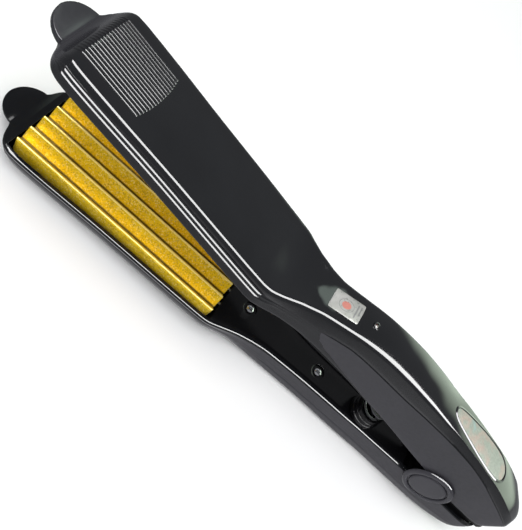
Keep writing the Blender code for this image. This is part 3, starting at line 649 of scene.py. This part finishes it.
def facet_distance(shell, x, y, out):
    """How far, in millimetres, a point lies inside the satin part of an arm's side."""
    if shell is LOWER and x > LOWER_TAB_FACE and out < along(shell.rim, x) + 0.01:
        return SHADED
    if shell is UPPER and x > TAB_FACET:
        return -HALF_SATIN + 0.11 * min(1.0, (x - TAB_FACET) / 3.0)
    if abs(y) < 0.6 * half_width(x):
        return GLOSSY
    if shell is UPPER:
        end, start_out, end_out = UPPER_FACET_END, along(FACET_FLOOR, x), along(shell.side, x) - 0.4
    else:
        end, start_out, end_out = LOWER_FACET_END, along(FACET_FLOOR_LOWER, x), along(FACET_TOP_LOWER, x)
    return max(GLOSSY, min(end_out - out, out - start_out, end - x))


def housing(arm):
    """A closed shell: outer skin, rim, inner wall and the ends of the cavity."""
    shell = arm.shell
    outer = []
    for x in STATIONS:
        half = shell.half_section(x)
        outer.append([(x, y, out) for y, out in half] + [(x, -y, out) for y, out in reversed(half[:-1])])
    count = len(outer[0])
    far = count - 1
    first = next(i for i, x in enumerate(STATIONS) if x < CAVITY_FRONT)
    last = max(i for i, x in enumerate(STATIONS) if x > CAVITY_REAR)
    verts, faces = rings_to_mesh(outer, closed=False)
    inner_rings = {}
    for i in range(first, last + 1):
        inner_rings[i] = len(verts)
        verts += inner_wall(shell, STATIONS[i])
    for i in range(first, last):
        a, b = inner_rings[i], inner_rings[i + 1]
        for k in range(far):
            faces.append((a + k, a + k + 1, b + k + 1, b + k))
        faces.append((i * count, a, b, (i + 1) * count))
        faces.append((i * count + far, a + far, b + far, (i + 1) * count + far))
    for i in (first, last):
        faces.append(tuple(range(inner_rings[i], inner_rings[i] + count)))
    for i in range(len(outer) - 1):     # the open side, closed in front of the cavity and behind it
        a, b = i * count, (i + 1) * count
        if i == first - 1:
            r = inner_rings[first]
            faces.append((a, a + far, b + far, r + far, r, b))
        elif i == last:
            r = inner_rings[last]
            faces.append((b, b + far, a + far, r + far, r, a))
        elif i < first or i > last:
            faces.append((a, a + far, b + far, b))
    obj = piece(arm, f"{arm.name}_shell", verts, faces, HOUSING,
                (f"{arm.name}_housing",), 26.0)
    facet = obj.data.attributes.new("facet", "FLOAT", "POINT")
    facet.data.foreach_set("value", [facet_distance(shell, *v) for v in verts])
    return obj


def inner_wall(shell, x):
    """One ring of the cavity's wall."""
    inside = []
    crown, side = along(shell.crown, x), along(shell.side, x)
    narrower = 1 - WALL / half_width(x)
    for y, out in shell.half_section(x):
        toward = min(1.0, max(0.0, (out - side) / (crown - side + 0.01)))
        inside.append((x, y * narrower, out - WALL * toward))
    return inside + [(x, -y, out) for _, y, out in reversed(inside[:-1])]


COVER_ENDS = (129.3, 13.1)
COVER_THICK = 2.0
SEAT_DEPTH = 0.9        # of a screw's seat, below the cover's face
CUP_HOLE = 6.7


def inner_cover(arm):
    """The inner face of an arm, slightly dished, with a turned edge and two screw wells."""
    rings = []
    for x in spread(*COVER_ENDS, 90):
        half = half_width(x) - WALL - COVER_MARGIN
        face = along(arm.shell.rim, x) + COVER_RECESS
        back = face + COVER_THICK
        top = [(half, face + 0.35), (half - 0.12, face + 0.1), (half - 0.4, face)]
        top += [(half * t, face + 0.12 * (1 - t * t)) for t in (0.8, 0.5, 0.2)]
        ring = top + [(-y, out) for y, out in reversed(top)] + [(0.2 - half, back), (half - 0.2, back)]
        rings.append([(x, y, out) for y, out in ring])
    cover = loft(arm, f"{arm.name}_cover_face", rings, INNER, (f"{arm.name}_inner_cover",))
    for _, x in SCREWS_X:
        face = along(arm.shell.rim, x) + COVER_RECESS
        well = ((3.75, face - 1), (3.75, face - 0.02), (3.45, face + 0.15), (3.4, face + SEAT_DEPTH),
                (1.9, face + SEAT_DEPTH + 0.05), (1.9, face + 4))
        cut(cover, arm, [circle(radius, out, (x, 0, 0), "out", 40) for radius, out in well])
    if arm is LOWER_ARM:
        cut(cover, arm, [circle(CUP_HOLE, out, (SPRING_X, 0, 0), "out", 48) for out in (0, 12)])


def screws(arm):
    """Two small pan-head screws with a cross recess, seated in their wells."""
    for place, x in SCREWS_X:
        face = along(arm.shell.rim, x) + COVER_RECESS
        seat = face + SEAT_DEPTH
        steps = rounded(((0.4, seat - 1.42), (1.2, seat - 1.3), (1.8, seat - 0.85), (2.1, seat - 0.3),
                         (2.1, seat), (1.5, seat), (1.5, face + 7.0), (0.6, face + 8.0)), 0.2)
        name = f"{arm.name}_cover_screw_{place}"
        screw = turned(arm, name + "_head", steps, (x, 0, 0), "out", STEEL, (name,), 40)
        for half_x, half_y in ((0.3, 1.2), (1.2, 0.3)):
            rings = []
            for out, shrink in ((seat - 3.0, 1.0), (seat - 1.1, 1.0), (seat - 0.55, 0.35)):
                hx, hy = max(half_x * shrink, 0.15), max(half_y * shrink, 0.15)
                corners = ((-hx, -hy), (hx, -hy), (hx, hy), (-hx, hy))
                rings.append([(x + across, y, out) for across, y in corners])
            cut(screw, arm, rings)


# ---- crimp plates

PITCH, RIDGE, CREST = 8.6, 4.8, 0.55
PLATE_HALF = 19.2
PLATE_ENDS = (131.0, 239.5)
PLATE_CORNER = 3.5
PLATE_BACK = 5.0
FACE_HALF = 2 * PITCH + 0.5     # the corrugation ends just past its outermost turns
FACE_LIFT = 0.25                # keeps the two faces apart when the arms are closed
END_LIFT = 0.35                 # how far the two ends are eased back
FLANK_DROP, FLANK_OUT = 4.6, 4.4    # of the turned-down edges: longest drop, and farthest out
CORNER_POINTS = 7
# Painted shade: how much of the valleys' painted shade the turned-down edges take.
EDGE_SHADE_SHARE = 0.095              # tone of the turned-down edges


def corrugation(y):
    """Crimping face height over the parting plane, with rounded crests and valleys."""
    turn = abs((y / PITCH + 0.5) % 1.0 - 0.5) * PITCH
    reach = PITCH / 2
    if turn < CREST:
        share = turn * turn / (2 * CREST)
    elif turn > reach - CREST:
        share = (reach - 2 * CREST) + CREST - (reach - turn) ** 2 / (2 * CREST)
    else:
        share = turn - CREST / 2
    return RIDGE * (0.5 - share / (reach - CREST))


def ridge_share(arm, y):
    """0 in a valley of the crimping face, 1 on a crest and low on the turned-down edges; the gold's painted
    shade and painted highlights follow it.
    """
    if abs(y) > FACE_HALF + 0.2:
        return EDGE_SHADE_SHARE
    return 0.5 - arm.side * corrugation(y) / RIDGE


def crimp_plate(arm):
    """The corrugated plate, its long edges turned down and its corners rounded."""
    start, end = PLATE_ENDS
    turns = [math.radians(90 * k / (CORNER_POINTS - 1)) for k in range(CORNER_POINTS)]
    corner = [PLATE_CORNER * (1 - math.sin(a)) for a in turns]
    xs = sorted(round(start + c, 4) for c in corner)
    xs += spread(start + PLATE_CORNER + 2, end - PLATE_CORNER - 2, 40)
    xs += sorted(round(end - c, 4) for c in corner)
    rings = []
    for x in xs:
        past = max(start + PLATE_CORNER - x, x - (end - PLATE_CORNER), 0.0)
        half = PLATE_HALF - PLATE_CORNER + math.sqrt(max(PLATE_CORNER ** 2 - past ** 2, 0.0))
        ease = END_LIFT if x in (xs[0], xs[-1]) else 0.0
        face = []
        for y in spread(-FACE_HALF, FACE_HALF, 171):
            y = max(-half, min(half, y))
            face.append((x, y, arm.side * corrugation(y) + FACE_LIFT + ease))
        edge_out = face[-1][2]
        end_out = min(edge_out + FLANK_DROP, FLANK_OUT)
        flank = []
        for t in (0.12, 0.3, 0.55, 0.8, 1.0):
            y = FACE_HALF + (PLATE_HALF - FACE_HALF) * math.sin(t * math.pi / 2) ** 0.9
            flank.append((x, min(half, y), edge_out + (end_out - edge_out) * t))
        face = [(x, -y, out) for x, y, out in reversed(flank)] + face + flank
        rings.append(face + [(x, y, PLATE_BACK) for _, y, _ in reversed(face)])
    verts, faces = rings_to_mesh(rings, caps=False)
    count = len(rings[0])
    for first in (0, len(verts) - count):
        last = first + count - 1
        faces += [(first + k, first + k + 1, last - k - 1, last - k) for k in range(count // 2 - 1)]
    obj = piece(arm, f"{arm.name}_crimp_face", verts, faces, GOLD,
                (f"{arm.name}_crimp_plate",), 38.0)
    ridge = obj.data.attributes.new("ridge", "FLOAT", "POINT")
    ridge.data.foreach_set("value", [ridge_share(arm, y) for ring in rings for _, y, _ in ring])


# ---- upper arm fittings

# Half of the badge's drop outline, as (x, y) knots
BADGE = (
    (-5.5, 0.35), (-5.35, 1.3), (-4.7, 3), (-3.8, 4.1), (-2.6, 5), (-1, 5.7), (0.8, 6.1), (6, 6.4),
    (14, 6), (22, 5), (30, 3.7), (34.5, 2.6), (36, 1.8), (36.8, 0.9), (37, 0.35))
BADGE_MIDDLE = 12.0


def drop_outline(margin, count=160):
    """Points around the drop, grown by a margin."""
    rear, front = BADGE[0][0], BADGE[-1][0]
    middle, reach = (rear + front) / 2, (front - rear) / 2
    side = []
    for k in range(count // 2 + 1):
        a = math.pi * k / (count // 2)
        x = middle - reach * math.cos(a)
        side.append((x, along(BADGE, x)))
    points = side + [(x, -y) for x, y in reversed(side[1:-1])]
    grown = []
    for i, (x, y) in enumerate(points):
        before, after = points[i - 1], points[(i + 1) % len(points)]
        tangent = Vector((after[0] - before[0], after[1] - before[1])).normalized()
        normal = Vector((-tangent.y, tangent.x))
        grown.append((x + normal.x * margin, y + normal.y * margin))
    return grown


def badge():
    """A glossy rim around a narrow gap and a slightly domed iridescent inlay."""
    def outline(margin, lift):
        return [(x, y, UPPER.skin(x, y) + lift) for x, y in drop_outline(margin)]

    rim = ((0.3, -0.5), (0.3, 0.18), (0.36, 0.28), (0.44, 0.31), (1.12, 0.13), (1.17, 0.05), (1.18, -0.5))
    outlines = [outline(*step) for step in rim]
    verts, faces = rings_to_mesh(outlines + outlines[:1], caps=False)
    verts = verts[:-len(outlines[0])]
    faces = [tuple(v % len(verts) for v in f) for f in faces]
    piece(UPPER_ARM, "badge_rim", verts, faces, GLOSS, ("handle_badge_bezel",), 24.0)
    rings = [outline(*step) for step in ((-0.15, -0.5), (-0.15, -0.1), (-0.17, 0.08), (-0.4, 0.11))]
    for t in (0.85, 0.65, 0.45, 0.25, 0.1):
        ring = [(BADGE_MIDDLE + (x - BADGE_MIDDLE) * t, y * t) for x, y in drop_outline(-0.4)]
        rings.append([(x, y, UPPER.skin(x, y) + 0.11 + 0.03 * (1 - t)) for x, y in ring])
    loft(UPPER_ARM, "badge_inlay", rings, FILM, ("handle_badge",), 40.0)


LABEL_REAR, LABEL_FRONT, LABEL_HALF = 95.3, 108.0, 5.3
LABEL_CORNER = 0.5
RING_X = 102.0          # the printed ring and dot, whose sizes are squares of radii
RING_INSIDE, RING_OUTSIDE, DOT = 8.2, 9.5, 3.4
BARS = ((97.5, 98.1, -3.6, 3.6), (96.3, 96.8, -3.6, 1.6))


def label_material():
    """Silvery film with a printed ring around a dot, and two plain bars: no lettering."""
    n = Nodes("label_film")
    split = n.add("ShaderNodeSeparateXYZ")
    n.link(n.attribute("plan", "Vector"), split.inputs["Vector"])
    x, y = split.outputs["X"], split.outputs["Y"]

    def inside(value, low, high):
        return n.math("MULTIPLY", n.math("GREATER_THAN", value, low), n.math("LESS_THAN", value, high))

    colour = n.ramp(n.noise(120.0, 4.0), ((0.35, (0.24, 0.245, 0.225)), (0.7, (0.32, 0.31, 0.30))))
    dx = n.math("SUBTRACT", x, RING_X)
    squared = n.math("ADD", n.math("MULTIPLY", dx, dx), n.math("MULTIPLY", y, y))
    colour = n.mix(inside(squared, RING_INSIDE, RING_OUTSIDE), colour, (0.16, 0.16, 0.16))
    colour = n.mix(n.math("LESS_THAN", squared, DOT), colour, (0.42, 0.14, 0.11))
    for x0, x1, y0, y1 in BARS:
        bar = n.math("MULTIPLY", inside(x, x0, x1), inside(y, y0, y1))
        colour = n.mix(bar, colour, (0.15, 0.15, 0.15))
    n.set("Base Color", colour)
    n.set("Metallic", 0.25)
    n.set("Roughness", n.span(n.noise(500.0), 0.3, 0.7, 0.25, 0.4))
    n.bump(n.noise(300.0, 3.0), 0.1, 0.0001)
    return n.material


def label():
    """The sticker, following the skin, with rounded corners and thinner edges."""
    rings = []
    for x in spread(LABEL_REAR, LABEL_FRONT, 41):
        inward = min(x - LABEL_REAR, LABEL_FRONT - x)
        short = max(LABEL_CORNER - inward, 0.0)
        half = LABEL_HALF - LABEL_CORNER + math.sqrt(max(LABEL_CORNER ** 2 - short ** 2, 0.0))
        ring = []
        for k, y in enumerate(spread(-half, half, 25)):
            lift = 0.05 if k in (0, 24) or inward < 0.01 else 0.1
            ring.append((x, y, UPPER.skin(x, y) + lift))
        rings.append(ring + [(x, y, UPPER.skin(x, y) - 0.3) for y in (half, -half)])
    loft(UPPER_ARM, "label_sheet", rings, label_material(), ("warning_label",), 30.0)


PILOT_X = 88.5


def pilot_light():
    """A small collar with a domed lens in it."""
    top, centre = UPPER.skin(PILOT_X, 0.0), (PILOT_X, 0, 0)
    seat = ((1.75, top - 1.5), (1.75, top + 0.3), (1.3, top + 0.42), (1.2, top - 1.4), (0.2, top - 1.45))
    turned(UPPER_ARM, "pilot_seat", rounded(seat, 0.12), centre, "out", GLOSS, (), 36)
    radius, base = 1.08, top - 0.3
    dome = [(1.05, top - 2.2), (radius, base)]
    dome += [(radius * math.cos(a), base + 0.55 * math.sin(a)) for a in (0.3, 0.6, 0.9, 1.2, 1.45)]
    turned(UPPER_ARM, "pilot_dome", dome, centre, "out", LENS, ("pilot_lens",), 36)


RIBS = 17
RIB_REACH = 13.5
RIB_REAR, RIB_ARC = 211.0, 1.6      # the middle ribs run this much farther back than the outer ones
RIB_FRONT = 242.0
RIB_SECTION = ((-0.46, 0.0), (-0.4, 0.2), (-0.2, 0.32), (0.1, 0.335), (0.31, 0.25), (0.46, 0.0))


def grip_ribs():
    """Fine lengthwise ribs on the front of the upper head, ending in an arc and over the front edge."""
    verts, faces = [], []
    for k in range(RIBS):
        y0 = -RIB_REACH + 2 * RIB_REACH * k / (RIBS - 1)
        rear = RIB_REAR - RIB_ARC * (1 - (y0 / RIB_REACH) ** 2)
        xs = [rear, rear + 0.35, rear + 0.8] + spread(rear + 2, 236.5, 12)
        xs += [237.4, 238.2, 239.0, 239.8, 240.5, 241.2, 241.8]
        rings = []
        for x in xs:
            grow = min(1.0, (x - rear) / 0.8 + 0.05, (RIB_FRONT - x) / 0.6)
            ring = [(x, y0 + across, UPPER.skin(x, y0 + across) + up * grow - 0.02)
                    for across, up in RIB_SECTION]
            rings.append(ring + [(x, y0 + across, UPPER.skin(x, y0) - 0.4) for across in (0.5, -0.5)])
        more, quads = rings_to_mesh(rings)
        faces += [tuple(v + len(verts) for v in f) for f in quads]
        verts += more
    piece(UPPER_ARM, "grip_ribs", verts, faces, GLOSS, (), 30.0)


# ---- hinge and spring

def hinge_caps():
    """A disc with a raised rim and a raised middle at each end of the hinge."""
    profile = rounded(((11.9, 9.75), (12.4, 9.95), (12.4, 10.3), (12.15, 10.92), (11.4, 11.3), (10.1, 11.3),
                       (9.75, 11.0), (9.6, 10.2), (9.05, 10.2), (9.05, 10.45), (8.8, 11.05), (8.1, 11.28),
                       (4.0, 11.3), (0.3, 11.3)), 0.12)
    for name, side in (("near_hinge_cap", 1), ("far_hinge_cap", -1)):
        steps = [(radius, side * y) for radius, y in profile]
        turned(LOWER_ARM, name + "_disc", steps, (0, 0, 0), "y", CAP, (name,), 96)


def spring_cup():
    """The stepped cup that stands out of the lower arm's inner face."""
    face = along(RIM_LOWER, SPRING_X) + COVER_RECESS
    steps = ((6.4, 16.0), (6.4, face - 0.3), (7.2, face - 0.3), (7.2, 3.9), (8.2, 3.7), (8.2, 1.4),
             (7.7, 1.2), (7.7, -0.8), (7.2, -1.0), (7.2, -3.4), (6.1, -3.4), (5.9, -3.2), (5.9, 15.0),
             (0.2, 15.0))
    turned(LOWER_ARM, "spring_cup_turned", rounded(steps, 0.22), (SPRING_X, 0, 0), "out", INNER,
           ("spring_cup",), 72)


def spring_peg():
    """The peg on the upper arm that centres the spring's top."""
    face = along(RIM_UPPER, SPRING_X) + 0.3
    steps = ((6.6, face), (6.6, face - 0.8), (4.0, face - 0.8), (4.0, face - 3.6), (3.4, face - 4.2),
             (0.2, face - 4.2))
    turned(UPPER_ARM, "spring_peg_turned", rounded(steps, 0.25), (SPRING_X, 0, 0), "out", INNER,
           ("spring_peg",), 56)


COIL_RADIUS, WIRE_RADIUS = 5.1, 0.55
COIL_TURNS, COIL_POINTS = 6.5, 40       # points to a turn
COIL_DEPTH = 14.3                       # of the coil's foot, down in the cup


def return_spring():
    """A coil from the cup to the peg, bowed so that it leaves each arm squarely.

    Its points have +Z toward the upper arm, so z is turned over for the lower arm's "out".
    """
    angle = math.radians(OPENING)
    foot = Vector((SPRING_X, 0, -COIL_DEPTH))
    seat_out = along(RIM_UPPER, SPRING_X) + COVER_RECESS - 2.0
    up = Vector((-math.sin(angle), 0, math.cos(angle)))
    head = Vector((math.cos(angle), 0, math.sin(angle))) * SPRING_X + up * seat_out
    reach = (head - foot).length / 3
    handles = (foot, foot + Vector((0, 0, reach)), head - up * reach, head)
    path = []
    last = int(COIL_TURNS * COIL_POINTS)
    for k in range(last + 1):
        t = k / last
        weights = ((1 - t) ** 3, 3 * t * (1 - t) ** 2, 3 * t * t * (1 - t), t ** 3)
        middle = sum((w * h for w, h in zip(weights, handles)), Vector())
        turn, lean = 2 * math.pi * k / COIL_POINTS, angle * t
        across = COIL_RADIUS * math.cos(turn)
        along_y = COIL_RADIUS * math.sin(turn)
        spot = middle + Vector((across * math.cos(lean), along_y, across * math.sin(lean)))
        path.append((spot.x, spot.y, -spot.z))
    verts, faces = rings_to_mesh(tube(path, WIRE_RADIUS, 12))
    spring = piece(LOWER_ARM, "return_coil", verts, faces, SPRING_STEEL, ("return_spring",), 60.0,
                   ride=False)
    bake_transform(spring)


def cord_gland():
    """The cord outlet's rounded rubber ring, open right through."""
    sides = 64
    steps = ((5.2, -32.4), (5.2, -37.5), (4.9, -38.1), (4.3, -38.4), (2.3, -38.4), (1.95, -38.1),
             (1.95, -32.4))
    rings = [circle(radius, x, (0, 0, GLAND_OUT), "x", sides) for radius, x in rounded(steps, 0.2)]
    verts, faces = rings_to_mesh(rings, caps=False)
    last = len(verts) - sides
    faces += [(k, (k + 1) % sides, last + (k + 1) % sides, last + k) for k in range(sides)]
    piece(LOWER_ARM, "outlet_gland", verts, faces, RUBBER, ("cord_gland",), 40.0)


# ---- pieces carried over from the CAD model

IN_EACH_ARM = (("hinge_block", MATTE), ("plate_frame", MATTE), ("heater", CERAMIC), ("heater_clip", STEEL),
               ("mica_sheet", MICA), ("thermal_fuse", FOIL), ("lead_live", BRAID), ("lead_neutral", BRAID))
SINGLE = [("hinge_pin", STEEL), ("terminal_block", CERAMIC), ("control_board", BOARD), ("pilot_led", LENS)]


def carry_over():
    """Gives the pieces that keep their CAD shape their materials."""
    in_arms = [(f"{arm}_{name}", material) for arm in ("lower", "upper") for name, material in IN_EACH_ARM]
    for name, material in in_arms + SINGLE:
        mesh = frame["nodes"][name].data
        mesh.materials.clear()
        mesh.materials.append(material)


# ---- stage, light and camera

def stage_piece(name, verts, faces):
    """A matt, pale part of the stage that stays out of the object's reflections."""
    mesh = bpy.data.meshes.new(name)
    mesh.from_pydata(verts, [], faces)
    mesh.shade_smooth()
    obj = bpy.data.objects.new(name, mesh)
    bpy.context.scene.collection.objects.link(obj)
    n = Nodes("pale_" + name)
    n.set("Base Color", n.ramp(n.noise(3.0, 2.0), ((0.3, (0.86, 0.86, 0.86)), (0.7, (0.88, 0.88, 0.88)))))
    n.set("Roughness", 0.9)
    n.set("Specular IOR Level", 0.1)
    mesh.materials.append(n.material)
    obj.visible_glossy = False
    return obj


FLOOR_HALF, DOME_RADIUS = 6.0, 5.9      # metres


def floor():
    corners = [(x * FLOOR_HALF, y * FLOOR_HALF, 0) for x, y in ((-1, -1), (1, -1), (1, 1), (-1, 1))]
    stage_piece("floor", corners, [(0, 1, 2, 3)])


def backdrop():
    """A plain dome around the stage that hides the lamps' glow from the camera and blocks no light."""
    sides, rings = 64, []
    for k in range(13):
        rise = math.radians(86) * k / 12
        radius, height = DOME_RADIUS * math.cos(rise), DOME_RADIUS * math.sin(rise)
        rings.append(circle(radius, height, (0, 0, 0), "out", sides))
    verts, faces = rings_to_mesh(rings, caps=False)
    obj = stage_piece("backdrop", verts, faces + [tuple(range(len(verts) - sides, len(verts)))])
    obj.visible_diffuse = obj.visible_shadow = False


# Soft lights in the surroundings: direction, cosines where each starts and is full, colour
GLOWS = (((-0.62, -0.75, 0.2), 0.9, 1.0, (3.3, 3.9, 3.2)),
         ((-0.83, -0.48, 0.3), 0.93, 0.99, (2.7, 3.2, 2.6)),
         ((0.19, -0.645, 0.74), 0.9945, 0.999, (2.6, 3.1, 2.8)),
         ((0.0, 0.3, -0.95), 0.2, 0.9, (0.55, 0.55, 0.57)))
GREY = (0.36, 0.365, 0.38, 1.0)


def world():
    """Even grey surroundings: greenish glows low on the far side and higher up, a dim one below."""
    scene = bpy.context.scene
    scene.world = bpy.data.worlds.new("studio")
    scene.world.use_nodes = True
    tree = scene.world.node_tree
    background = tree.nodes["Background"]
    direction = tree.nodes.new("ShaderNodeTexCoord").outputs["Generated"]
    colour = None
    for toward, start, full, tint in GLOWS:
        dot = tree.nodes.new("ShaderNodeVectorMath")
        dot.operation = "DOT_PRODUCT"
        dot.inputs[1].default_value = Vector(toward).normalized()
        tree.links.new(direction, dot.inputs[0])
        share = tree.nodes.new("ShaderNodeMapRange")
        share.interpolation_type = "SMOOTHSTEP"
        share.inputs["From Min"].default_value = start
        share.inputs["From Max"].default_value = full
        tree.links.new(dot.outputs["Value"], share.inputs["Value"])
        blend = tree.nodes.new("ShaderNodeMix")
        blend.data_type = "RGBA"
        blend.inputs[MIX_A].default_value = GREY
        blend.inputs[MIX_B].default_value = (*tint, 1.0)
        if colour:
            tree.links.new(colour, blend.inputs[MIX_A])
        tree.links.new(share.outputs["Result"], blend.inputs["Factor"])
        colour = blend.outputs[MIX_RESULT]
    tree.links.new(colour, background.inputs["Color"])
    scene.view_settings.view_transform = "Standard"


def panel(name, place, target, size, radiance, glossy=True, diffuse=True):
    """A rectangular softbox, aimed at a point. Its light may be kept off glossy or matt surfaces."""
    light = bpy.data.lights.new(name, "AREA")
    light.shape = "RECTANGLE"
    light.size, light.size_y = size
    light.energy = radiance * math.pi * size[0] * size[1]
    obj = bpy.data.objects.new(name, light)
    bpy.context.scene.collection.objects.link(obj)
    obj.location = place
    obj.rotation_mode = "QUATERNION"
    aim = Vector(target) - Vector(place)
    obj.rotation_quaternion = aim.to_track_quat("-Z", "Y")
    obj.visible_glossy, obj.visible_diffuse = glossy, diffuse
    obj.visible_camera = False
    return obj


def lights():
    """A long softbox straight overhead for the crisp edge lines, and soft fill."""
    overhead = panel("overhead", (-0.65, 0.0, 0.70), (-0.65, 0.0, 0.0), (2.15, 0.42), 24.0, diffuse=False)
    overhead.rotation_quaternion = (1, 0, 0, 0)     # its long side along X
    panel("fill", (0.1, 0.5, 1.6), (0.0, 0.0, 0.0), (1.8, 1.8), 3.3, glossy=False)


# The camera in the lower arm's frame: +Z up, its place in millimetres
CAMERA_PLACE = (167.2, 174.0, 241.5)
CAMERA_RIGHT = (-0.734, -0.461, 0.499)
CAMERA_DOWN = (-0.666, 0.632, -0.395)
SENSOR, LENS_LENGTH = 36.0, 45.1698


def camera():
    data = bpy.data.cameras.new("camera")
    data.sensor_width = SENSOR
    data.sensor_fit = "AUTO"
    data.lens = LENS_LENGTH
    data.clip_start, data.clip_end = 0.01, 50.0
    obj = bpy.data.objects.new("camera", data)
    bpy.context.scene.collection.objects.link(obj)
    right = Vector(CAMERA_RIGHT).normalized()
    down = Vector(CAMERA_DOWN)
    down = (down - right * down.dot(right)).normalized()
    back = right.cross(-down)
    place = Matrix((right, -down, back)).transposed().to_4x4()
    place.translation = Vector(CAMERA_PLACE) * MM
    obj.matrix_world = LOWER_ARM.matrix @ place
    bpy.context.scene.camera = obj


def build():
    camera()
    housing(UPPER_ARM)
    lower = housing(LOWER_ARM)
    cut(lower, LOWER_ARM, [circle(GLAND_HOLE, x, (0, 0, GLAND_OUT), "x", 48) for x in (-32.0, -42.0)])
    for make in (inner_cover, screws, crimp_plate):
        for arm in (LOWER_ARM, UPPER_ARM):
            make(arm)
    badge()
    label()
    pilot_light()
    grip_ribs()
    hinge_caps()
    spring_cup()
    spring_peg()
    return_spring()
    cord_gland()
    carry_over()
    floor()
    backdrop()
    world()
    lights()


build()
